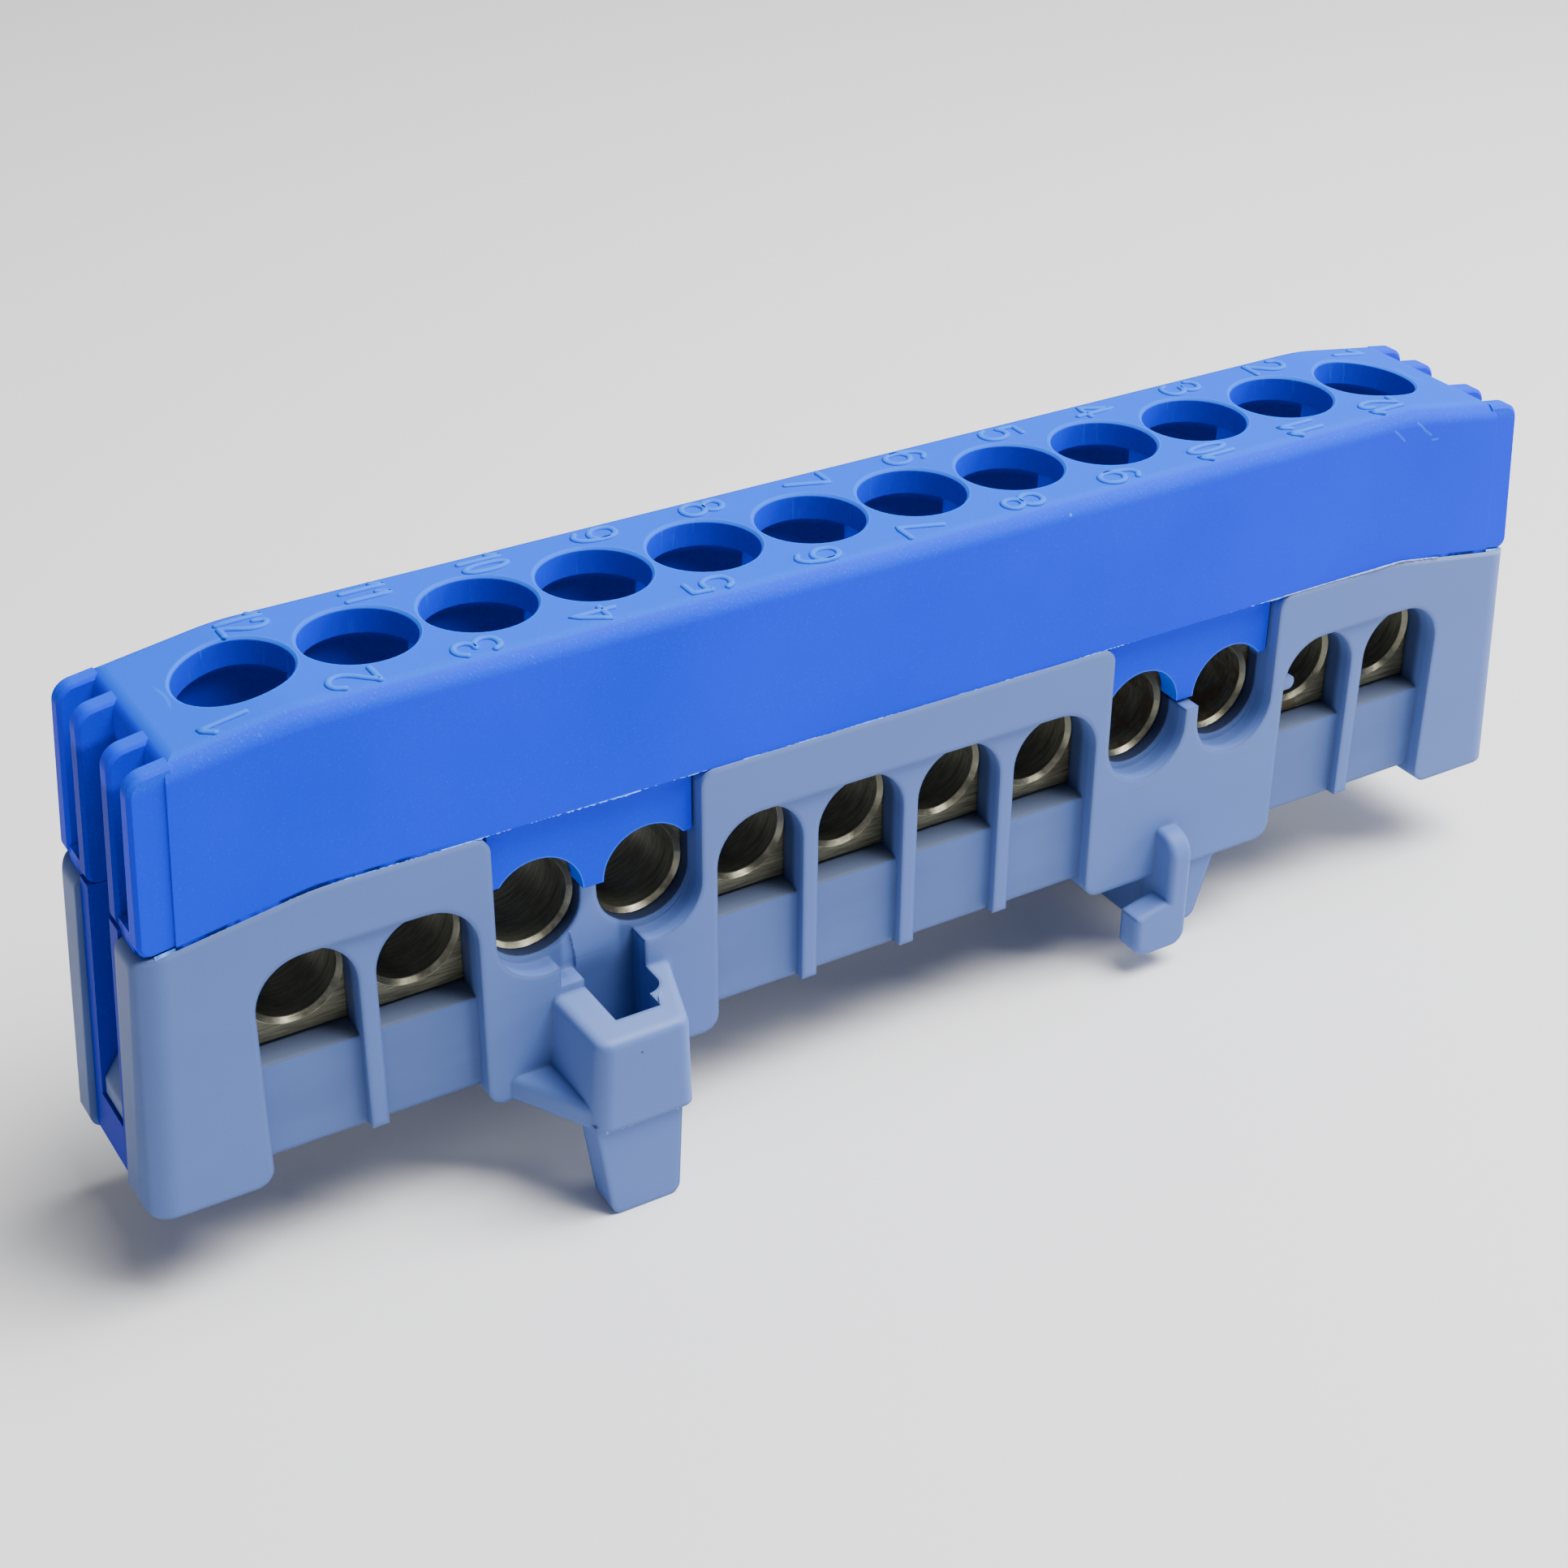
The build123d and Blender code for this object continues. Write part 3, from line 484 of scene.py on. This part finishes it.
def bar_material(finish):
    """Plated bar: brushed along its faces, ringed in its holes, with painted sheen on the upper side of each
    bore, darkened chamfers carrying painted glints on their lower side, and brown tarnish.
    """
    m = Finish("bar_nickel_plate")
    colour = tuple(finish.bar_colour)
    across = m.x % PITCH - PITCH / 2
    rise = m.z - WIRE_HEIGHT
    radius = (across * across + rise * rise) ** 0.5
    in_hole = radius.ramp(2.68, 2.62)
    low_side = ((across * 0.3 - rise) / radius).ramp(0.2, 1.0)
    chamfer = radius.ramp(2.6, 2.64) * radius.ramp(2.9, 2.86) * abs(m.y).ramp(3.15, 3.25)
    lit = ((across * 0.55 + rise * 0.83) / radius).ramp(0.0, 1.0) * in_hole
    rings = m.noise(0.14, 4.0, m.vector(across * 0.05, m.y, rise * 0.05), roughness=0.8)
    brushed = m.noise(0.09, 3.0, m.vector(m.x * 0.04, m.y, m.z), roughness=0.7)
    lines = rings * in_hole + brushed * (1 - in_hole)
    dull = m.noise(1.7, 4.0)
    stain = m.x.ramp(WAY_X[7], WAY_X[8]) * m.x.ramp(WAY_X[10] + 3.0, WAY_X[10])
    stain = stain * m.noise(1.1, 3.0).ramp(0.42, 0.62)
    tone = m.mix(shade(colour, 0.45), shade(colour, 1.3), lines.ramp(0.32, 0.68))
    # Painted sheen: the upper side of each bore is much lighter.
    tone = m.mix(tone, shade(colour, 3.2), lit * lines.ramp(0.25, 0.75) * 0.6)
    tone = m.mix(tone, shade(colour, 0.6), dull.ramp(0.45, 0.75) * 0.5)
    tone = m.mix(tone, tuple(finish.tarnish_colour) + (1.0,), stain * 0.75)
    glints = m.noise(1.1, 3.0, roughness=0.6).ramp(0.35, 0.75)
    tone = m.mix(tone, shade(colour, 0.75), chamfer)
    # Painted glints: bright spots on the lower side of each chamfer, over a darkened chamfer.
    tone = m.mix(tone, (0.5, 0.47, 0.33, 1.0), chamfer * low_side * (0.15 + 0.85 * glints))
    rough = 0.3 + 0.2 * lines + 0.15 * dull - 0.16 * chamfer
    normal = m.bumps(lines, 0.012 * MM)
    return m.surface(Base_Color=tone, Roughness=rough, Metallic=0.7, Normal=normal)


def screw_material(finish):
    """Plated steel of the screws: bright crests, painted shade in the grooves and the head's slot, and
    turning marks on the heads.
    """
    m = Finish("screw_zinc_plate")
    colour = tuple(finish.screw_colour)
    across = m.x % PITCH - PITCH / 2
    radius = (across * across + m.y * m.y) ** 0.5
    turned = m.noise(0.1, 2.0, m.vector(radius, m.z, 0.0))
    dull = m.noise(0.9, 3.0)
    # Painted shade: the thread grooves and the head's slot are darker than the crests, the head's rim and its
    # top.
    tone = m.mix(shade(colour, 0.5), shade(colour, 1.15), radius.ramp(2.0, 2.45).most(m.z.ramp(25.4, 25.7)))
    tone = m.mix(tone, shade(colour, 0.65), dull.ramp(0.5, 0.8) * 0.5)
    normal = m.bumps(turned, 0.006 * MM)
    return m.surface(Base_Color=tone, Roughness=0.28 + 0.2 * turned, Metallic=1.0, Normal=normal)


def flash_material(name, colour):
    """Thin pale plastic film."""
    m = Finish(name)
    grain = m.noise(0.25, 3.0)
    tone = m.mix(shade(colour, 0.7), toward_white(colour, 0.12), grain.ramp(0.35, 0.65))
    return m.surface(Base_Color=tone, Roughness=0.4 + 0.2 * grain, Specular_IOR_Level=0.1)


# Surfaces

def crown_drop(x):
    """How far the cover's top lies below its middle at x: 0, then an arc, then a straight slope."""
    run = CROWN_RADIUS * math.tan(CROWN_SLOPE / 2)
    reach = np.abs(x) - CROWN_HALF
    arc = CROWN_RADIUS - np.sqrt(CROWN_RADIUS ** 2 - np.clip(reach + run, 0.0, 2 * run) ** 2)
    slope = np.maximum(reach, 0.0) * math.tan(CROWN_SLOPE)
    return np.where(reach > run, slope, arc)


def tube(points, loop=False):
    """Closed surface of a grid of points in millimetres, rows by columns: a capped tube or a ring."""
    rows, columns = points.shape[:2]
    index = np.arange(rows * columns).reshape(rows, columns)
    here = index if loop else index[:-1]
    ahead = np.roll(index, -1, axis=0) if loop else index[1:]
    quads = np.stack([here, np.roll(here, -1, axis=1), np.roll(ahead, -1, axis=1), ahead], axis=-1)
    faces = quads.reshape(-1, 4).tolist()
    if not loop:
        faces += [index[0][::-1].tolist(), index[-1].tolist()]
    return points.reshape(-1, 3) * MM, faces


def joined(name, shells):
    """Object of several closed shells, with every shell turned to face outwards."""
    points = np.concatenate([shell[0] for shell in shells])
    starts = np.cumsum([0] + [len(shell[0]) for shell in shells[:-1]])
    faces = [[int(start) + corner for corner in face]
             for start, shell in zip(starts, shells) for face in shell[1]]
    mesh = bpy.data.meshes.new(name)
    mesh.from_pydata(points.tolist(), [], faces)
    mesh.update()
    piece = bpy.data.objects.new(name, mesh)
    bpy.context.scene.collection.objects.link(piece)
    bpy.context.view_layer.objects.active = piece
    bpy.ops.object.select_all(action="DESELECT")
    piece.select_set(True)
    bpy.ops.object.mode_set(mode="EDIT")
    bpy.ops.mesh.select_all(action="SELECT")
    bpy.ops.mesh.normals_make_consistent(inside=False)
    bpy.ops.object.mode_set(mode="OBJECT")
    return piece


def smooth_path(points, closed=False, steps=8):
    """Curve through the points: each span is a Catmull-Rom cubic of its two ends and their neighbours."""
    p = np.asarray(points, float)
    if closed:
        p = np.concatenate([p[-1:], p, p[:2]])
    else:
        p = np.concatenate([2 * p[:1] - p[1:2], p, 2 * p[-1:] - p[-2:-1]])
    t = np.linspace(0.0, 1.0, steps, endpoint=False)[None, :, None]
    a, b, c, d = (p[i:len(p) - 3 + i][:, None, :] for i in range(4))
    spans = 0.5 * (2 * b + (c - a) * t + (2 * a - 5 * b + 4 * c - d) * t ** 2
                   + (3 * b - a - 3 * c + d) * t ** 3)
    curve = spans.reshape(-1, p.shape[1])
    return curve if closed else np.concatenate([curve, p[-2:-1]])


def ridge(path, width, rise, sink, closed=False, sides=10):
    """Raised line on the cover's top: an ellipse carried along a plan path, rounded off at its open ends.

    A point is path + width/2 * cos(a) * normal, at the crown's height + rise * sin(a), or + sink * sin(a)
    below it.
    """
    path = np.asarray(path, float)
    if closed:
        tangent = np.roll(path, -1, axis=0) - np.roll(path, 1, axis=0)
        size = np.ones(len(path))
    else:
        tangent = np.gradient(path, axis=0)
        unit = tangent / np.linalg.norm(tangent, axis=1)[:, None]
        nose = np.sin(np.linspace(0.0, math.pi / 2, 5))[:-1]
        taper = np.sqrt(1.0001 - (1 - nose) ** 2)
        size = np.concatenate([taper, np.ones(len(path)), taper[::-1]])
        start = path[:1] - unit[:1] * (width / 2 * (1 - nose))[:, None]
        finish = path[-1:] + unit[-1:] * (width / 2 * (1 - nose[::-1]))[:, None]
        path = np.concatenate([start, path, finish])
        tangent = np.concatenate([np.repeat(unit[:1], 4, axis=0), unit, np.repeat(unit[-1:], 4, axis=0)])
    unit = tangent / np.linalg.norm(tangent, axis=1)[:, None]
    normal = np.stack([-unit[:, 1], unit[:, 0]], axis=1)
    angle = np.linspace(0.0, 2 * math.pi, sides, endpoint=False)
    plan = path[:, None, :] + normal[:, None, :] * (size[:, None] * np.cos(angle) * width / 2)[..., None]
    lift = np.where(np.sin(angle) > 0, rise, sink) * np.sin(angle)
    height = COVER_TOP - crown_drop(plan[..., 0]) + lift * size[:, None]
    points = np.concatenate([plan, height[..., None]], axis=-1)
    return tube(points, loop=closed)


# Digits as strokes in a box one wide and one high: (smooth, closed, points)
OVAL = [(0.5, 1.0), (0.88, 0.84), (1.0, 0.5), (0.88, 0.16), (0.5, 0.0), (0.12, 0.16), (0.0, 0.5),
        (0.12, 0.84)]
DIGITS = {
    "0": [(True, True, OVAL)],
    "1": [(False, False, [(0.12, 0.74), (0.62, 1.0), (0.62, 0.0)])],
    "2": [(True, False, [(0.02, 0.76), (0.2, 0.95), (0.55, 1.0), (0.9, 0.88), (0.95, 0.66), (0.75, 0.45),
                         (0.35, 0.22), (0.0, 0.0)]),
          (False, False, [(0.0, 0.0), (1.0, 0.0)])],
    "3": [(True, False, [(0.02, 0.82), (0.22, 0.96), (0.55, 1.0), (0.88, 0.9), (0.92, 0.7), (0.72, 0.56),
                         (0.4, 0.53)]),
          (True, False, [(0.4, 0.53), (0.8, 0.48), (0.99, 0.28), (0.86, 0.08), (0.5, 0.0), (0.15, 0.04),
                         (0.0, 0.18)])],
    "4": [(False, False, [(0.72, 0.0), (0.72, 1.0), (0.0, 0.27), (1.0, 0.27)])],
    "5": [(False, False, [(0.9, 1.0), (0.16, 1.0), (0.08, 0.56)]),
          (True, False, [(0.08, 0.56), (0.4, 0.64), (0.78, 0.6), (0.98, 0.36), (0.86, 0.1), (0.5, 0.0),
                         (0.14, 0.05), (0.0, 0.18)])],
    "6": [(True, False, [(0.9, 0.9), (0.55, 1.0), (0.2, 0.86), (0.02, 0.5), (0.05, 0.22)]),
          (True, True, [(0.5, 0.62), (0.88, 0.5), (0.98, 0.3), (0.84, 0.08), (0.5, 0.0), (0.16, 0.08),
                        (0.02, 0.3), (0.14, 0.52)])],
    "7": [(False, False, [(0.0, 1.0), (1.0, 1.0), (0.36, 0.0)])],
    "8": [(True, True, [(0.5, 1.0), (0.84, 0.92), (0.92, 0.76), (0.78, 0.6), (0.5, 0.54), (0.22, 0.6),
                        (0.08, 0.76), (0.16, 0.92)]),
          (True, True, [(0.5, 0.54), (0.86, 0.46), (1.0, 0.27), (0.86, 0.07), (0.5, 0.0), (0.14, 0.07),
                        (0.0, 0.27), (0.14, 0.46)])],
    "9": [(True, True, [(0.5, 0.38), (0.12, 0.5), (0.02, 0.7), (0.16, 0.92), (0.5, 1.0), (0.84, 0.92),
                        (0.98, 0.7), (0.86, 0.48)]),
          (True, False, [(0.1, 0.1), (0.45, 0.0), (0.8, 0.14), (0.98, 0.5), (0.95, 0.78)])],
}


def number_shells(number, centre, turn, sizes):
    """Raised digits of one number, whose top points to -X for turn 1 and to +X for turn -1."""
    shells = []
    text = str(number)
    for place, digit in enumerate(text):
        shift = (place - (len(text) - 1) / 2) * sizes.spacing / MM
        wide = sizes.width / MM * (1.0 if len(text) == 1 else 0.6)
        for smooth, closed, points in DIGITS[digit]:
            stroke = np.array(points)
            if smooth:
                stroke = smooth_path(stroke, closed)
            elif len(stroke) > 2:
                stroke = np.concatenate([np.linspace(a, b, 6) for a, b in zip(stroke[:-1], stroke[1:])])
                stroke = stroke[np.r_[True, np.abs(np.diff(stroke, axis=0)).sum(axis=1) > 1e-6]]
            across = (stroke[:, 0] - 0.5) * wide + shift
            up = (stroke[:, 1] - 0.5) * sizes.height / MM
            plan = np.stack([centre[0] - turn * up, centre[1] + turn * across], axis=1)
            shells.append(ridge(plan, sizes.stroke / MM, sizes.rise / MM, 0.1, closed))
    return shells


def film(path, outward, reach, thickness, seed, bare=0.35):
    """Ragged film of flash: a thin wedge carried along a path, whose reach wanders between 0 and `reach`.

    The reach at a point is smoothed noise less `bare`, held above nothing, times `reach`.
    """
    path = np.asarray(path, float)
    length = np.concatenate([[0.0], np.cumsum(np.linalg.norm(np.diff(path, axis=0), axis=1))])
    count = max(12, int(length[-1] / 0.12))
    s = np.linspace(0.0, length[-1], count)
    line = np.stack([np.interp(s, length, path[:, axis]) for axis in range(3)], axis=1)
    rng = np.random.default_rng(seed)
    coarse = np.interp(s, np.linspace(0, length[-1], max(4, count // 14)), rng.random(max(4, count // 14)))
    fine = rng.random(count)
    wander = np.clip(0.7 * coarse + 0.45 * fine - bare, 0.0, 1.0) * reach
    outward = np.asarray(outward, float) / np.linalg.norm(outward)
    tangent = np.gradient(line, axis=0)
    side = np.cross(tangent, outward)
    side /= np.linalg.norm(side, axis=1)[:, None]
    root = line - outward * 0.12
    tip = line + outward * wander[:, None]
    points = np.stack([root + side * thickness / 2, tip, root - side * thickness / 2], axis=1)
    return tube(points)


def thread_shell(x, low, high, radius, sizes):
    """Threaded shank: radius less a triangle wave of height and angle, on a grid of angle and height."""
    angle = np.linspace(0.0, 2 * math.pi, sizes.steps, endpoint=False)
    pitch = sizes.thread_pitch / MM
    z = np.arange(low, high + 0.001, pitch / 8)
    phase = (z[:, None] / pitch - angle[None, :] / (2 * math.pi)) % 1.0
    groove = 1 - np.abs(2 * phase - 1)
    depth = sizes.thread_depth / MM * groove
    ends = np.clip(np.minimum(z - low, high - z) / 0.5, 0.0, 1.0)[:, None]
    r = (radius - 0.45 * (1 - np.clip((z - low) / 0.5, 0, 1))[:, None]) - depth * ends
    heights = np.broadcast_to(z[:, None], r.shape)
    return tube(np.stack([x + r * np.cos(angle), r * np.sin(angle), heights], axis=-1))


def head_shell(x, low, high, radius, slot_width, slot_depth, chamfer=0.3):
    """Round head with a slot across it, as columns over the disc: y is t times the circle's half-chord.

    The columns stand close together at the slot's walls, and their height is the head's top or the slot's
    floor.
    """
    half = slot_width / 2
    inner = radius - chamfer
    turn = np.linspace(math.pi, math.pi / 2 + half / radius, 12)
    side = np.concatenate([radius * np.cos(turn)[:-1], [-half]])
    columns = np.concatenate([side, [-half, half], -side[::-1]])
    top = np.concatenate([np.full(len(side), high), [high - slot_depth] * 2, np.full(len(side), high)])
    chord = np.sqrt(np.maximum(radius ** 2 - columns ** 2, 0.0))
    t = np.linspace(-1.0, 1.0, 13)
    xs = np.broadcast_to(columns[:, None], (len(columns), len(t)))
    ys = chord[:, None] * t[None, :]
    reach = np.sqrt(xs ** 2 + ys ** 2)
    zs = top[:, None] - np.where(top[:, None] > high - 0.01, np.clip(reach - inner, 0.0, chamfer), 0.0)
    upper = np.stack([x + ys, xs, zs], axis=-1)
    under = np.stack([x + ys, xs, np.full_like(zs, low)], axis=-1)
    points = np.concatenate([upper, under[:, ::-1]], axis=1)
    return tube(points)


def dress(piece, material, body):
    """Gives a new piece its material and its body."""
    piece.data.materials.append(material)
    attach(piece, body)


def dress_node(node, material):
    """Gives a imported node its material."""
    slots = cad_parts[node].data.materials
    slots.clear()
    slots.append(material)


# Operators

class TERMINAL_OT_finish_housing(bpy.types.Operator):
    """Give the cover and the base their moulded plastic"""
    bl_idname = "terminal.finish_housing"
    bl_label = "Finish Housing"

    def execute(self, context):
        finish = settings_of(context, "terminal_housing")
        dress_node("cover", cover_material(finish))
        dress_node("base", base_material(finish))
        return {"FINISHED"}


class TERMINAL_OT_finish_bar(bpy.types.Operator):
    """Give the metal bar its plating"""
    bl_idname = "terminal.finish_bar"
    bl_label = "Finish Bar"

    def execute(self, context):
        dress_node("terminal_bar", bar_material(settings_of(context, "terminal_bar_finish")))
        return {"FINISHED"}


class TERMINAL_OT_build_screws(bpy.types.Operator):
    """Build the threaded clamp screws in place of the plain ones"""
    bl_idname = "terminal.build_screws"
    bl_label = "Build Screws"

    def execute(self, context):
        sizes = settings_of(context, "terminal_screws")
        material = screw_material(settings_of(context, "terminal_bar_finish"))
        for way in range(1, WAY_COUNT + 1):
            low, high = SCREW_BOXES[way - 1]
            radius = (high[0] - low[0]) / 2 / MM
            bottom = low[2] / MM
            top = high[2] / MM
            neck = top - HEAD_HEIGHT
            shank = thread_shell(WAY_X[way - 1], bottom, neck + 0.05, radius - HEAD_MARGIN, sizes)
            head = head_shell(WAY_X[way - 1], neck, top, radius, SLOT_WIDTH, SLOT_DEPTH)
            screw = joined(f"threaded_screw_{way:02d}", [shank, head])
            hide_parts(f"clamp_screw_{way:02d}")
            dress(screw, material, f"screw_{way:02d}")
        return {"FINISHED"}


class TERMINAL_OT_raise_numbers(bpy.types.Operator):
    """Raise the way numbers on the cover, one row for each side"""
    bl_idname = "terminal.raise_numbers"
    bl_label = "Raise Numbers"

    def execute(self, context):
        sizes = settings_of(context, "terminal_numbers")
        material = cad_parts["cover"].data.materials[0]
        for row, turn, offset in (("near", 1, -sizes.offset_near), ("far", -1, sizes.offset_far)):
            shells = []
            for place in range(WAY_COUNT):
                number = place + 1
                x = turn * (WAY_X[place] - sizes.offset_along / MM)
                aside = LAST_NUMBER_SHIFT[row] if number == WAY_COUNT else (0.0, 0.0)
                shells += number_shells(number, (x + aside[0], offset / MM + aside[1]), turn, sizes)
            numbers = joined(f"way_numbers_{row}", shells)
            for face in numbers.data.polygons:
                face.use_smooth = True
            dress(numbers, material, "housing")
        return {"FINISHED"}


class TERMINAL_OT_leave_flash(bpy.types.Operator):
    """Leave the thin flash of moulding along the seam"""
    bl_idname = "terminal.leave_flash"
    bl_label = "Leave Flash"

    def execute(self, context):
        finish = settings_of(context, "terminal_housing")
        x = np.linspace(-43.0, 43.0, 200)
        drop = np.maximum(np.abs(x) - CROWN_HALF, 0.0) * math.tan(CROWN_SLOPE)
        shells = []
        for side in (-1, 1):
            out = np.full_like(x, side * (SIDE - 0.12))
            path = np.stack([x, out, SEAM_HEIGHT + 0.03 - drop], axis=1)
            shells.append(film(path, (0, side, -0.8), 0.22, 0.05, 11 + side, 0.55))
        piece = joined("seam_flash", shells)
        dress(piece, flash_material("flash_blue_film", tuple(finish.flash_colour)), "housing")
        right = (x > 25.5) & (x < 38.0)
        shells = []
        for side in (-1, 1):
            out = np.full_like(x, side * (SIDE - 0.03))
            lip = np.stack([x, out, SEAM_HEIGHT + 0.05 - drop], axis=1)
            shells.append(film(lip[right], (0, side, 0.1), 0.2, 0.06, 61 + side, 0.35))
            for line, (out, up), reach, thickness, seed, bare in LATCH_FLASH:
                path = [(LATCH_MID + along, side * aside, height) for along, aside, height in line]
                shells.append(film(path, (0, side * out, up), reach, thickness, seed + side, bare))
        piece = joined("latch_flash", shells)
        dress(piece, flash_material("flash_grey_film", tuple(finish.base_flash_colour)), "housing")
        return {"FINISHED"}


class TERMINAL_OT_set_stage(bpy.types.Operator):
    """Set the floor, the soft lights and the camera"""
    bl_idname = "terminal.set_stage"
    bl_label = "Set Stage"

    def execute(self, context):
        stage = settings_of(context, "terminal_stage")
        scene = context.scene
        size = 3.0
        mesh = bpy.data.meshes.new("studio_floor")
        corners = [(-size, -size, 0), (size, -size, 0), (size, size, 0), (-size, size, 0)]
        mesh.from_pydata(corners, [], [(0, 1, 2, 3)])
        floor = bpy.data.objects.new("studio_floor", mesh)
        scene.collection.objects.link(floor)
        m = Finish("floor_pale")
        pale = tuple(stage.floor_colour)
        tone = m.mix(shade(pale, 0.99), shade(pale, 1.0), m.noise(60.0))
        mesh.materials.append(m.surface(Base_Color=tone, Roughness=0.8, Emission_Color=pale + (1.0,),
                                        Emission_Strength=stage.glow))
        world = bpy.data.worlds.new("studio_light")
        world.use_nodes = True
        back = world.node_tree.nodes["Background"]
        back.inputs["Color"].default_value = (1.0, 1.0, 1.0, 1.0)
        back.inputs["Strength"].default_value = stage.ambient
        scene.world = world
        lights = {"key_light": (stage.key, *KEY_LIGHT), "rim_light": (stage.rim, *RIM_LIGHT)}
        for name, (power, width, place) in lights.items():
            lamp = bpy.data.lights.new(name, "AREA")
            lamp.energy = power
            lamp.size = width
            holder = bpy.data.objects.new(name, lamp)
            holder.location = place
            holder.rotation_euler = Vector(place).to_track_quat("Z", "Y").to_euler()
            scene.collection.objects.link(holder)
        scene.camera = photograph_camera(scene)
        return {"FINISHED"}


def photograph_camera(scene):
    """Camera at the photograph's place, from its heading, its tilt and a small roll."""
    level = Vector((math.cos(CAMERA_HEADING), -math.sin(CAMERA_HEADING), 0.0))
    north = Vector((math.sin(CAMERA_HEADING), math.cos(CAMERA_HEADING), 0.0))
    ahead = math.cos(CAMERA_TILT) * north - math.sin(CAMERA_TILT) * Vector((0.0, 0.0, 1.0))
    down = ahead.cross(level)
    right = math.cos(CAMERA_ROLL) * level + math.sin(CAMERA_ROLL) * down
    below = math.cos(CAMERA_ROLL) * down - math.sin(CAMERA_ROLL) * level
    lens = bpy.data.cameras.new("photograph_camera")
    lens.sensor_width = 36
    lens.lens = lens.sensor_width * CAMERA_FOCAL
    lens.clip_start = 0.001
    camera = bpy.data.objects.new("photograph_camera", lens)
    scene.collection.objects.link(camera)
    turn = Matrix((right, -below, -ahead)).transposed().to_4x4()
    turn.translation = Vector(CAMERA_PLACE)
    camera.matrix_world = turn
    return camera


class TERMINAL_PT_panel(bpy.types.Panel):
    """Lists the terminal bar's operators and settings"""
    bl_idname = "TERMINAL_PT_panel"
    bl_label = "Terminal Bar"
    bl_space_type = "VIEW_3D"
    bl_region_type = "UI"
    bl_category = "Terminal Bar"

    def draw(self, context):
        for operator in OPERATORS:
            self.layout.operator(operator.bl_idname)
        for name, group in GROUPS.items():
            box = self.layout.box()
            settings = settings_of(context, name)
            for field in group.__annotations__:
                box.prop(settings, field)


GROUPS = {
    "terminal_housing": HousingFinish,
    "terminal_bar_finish": BarFinish,
    "terminal_numbers": NumberSizes,
    "terminal_screws": ScrewSizes,
    "terminal_stage": StageSettings,
}
OPERATORS = (TERMINAL_OT_finish_housing, TERMINAL_OT_finish_bar, TERMINAL_OT_build_screws,
             TERMINAL_OT_raise_numbers, TERMINAL_OT_leave_flash, TERMINAL_OT_set_stage)


def register():
    """Adds the classes and hangs the settings on the scene."""
    for group in GROUPS.values():
        bpy.utils.register_class(group)
    for operator in OPERATORS:
        bpy.utils.register_class(operator)
    bpy.utils.register_class(TERMINAL_PT_panel)
    for name, group in GROUPS.items():
        setattr(bpy.types.Scene, name, PointerProperty(type=group))


def unregister():
    """Takes away what register added."""
    for name in GROUPS:
        delattr(bpy.types.Scene, name)
    bpy.utils.unregister_class(TERMINAL_PT_panel)
    for operator in reversed(OPERATORS):
        bpy.utils.unregister_class(operator)
    for group in reversed(GROUPS.values()):
        bpy.utils.unregister_class(group)


def main():
    """Builds the looks."""
    register()
    bpy.ops.terminal.finish_housing()
    bpy.ops.terminal.finish_bar()
    bpy.ops.terminal.build_screws()
    bpy.ops.terminal.raise_numbers()
    bpy.ops.terminal.leave_flash()
    bpy.ops.terminal.set_stage()


if __name__ == "__main__":
    main()
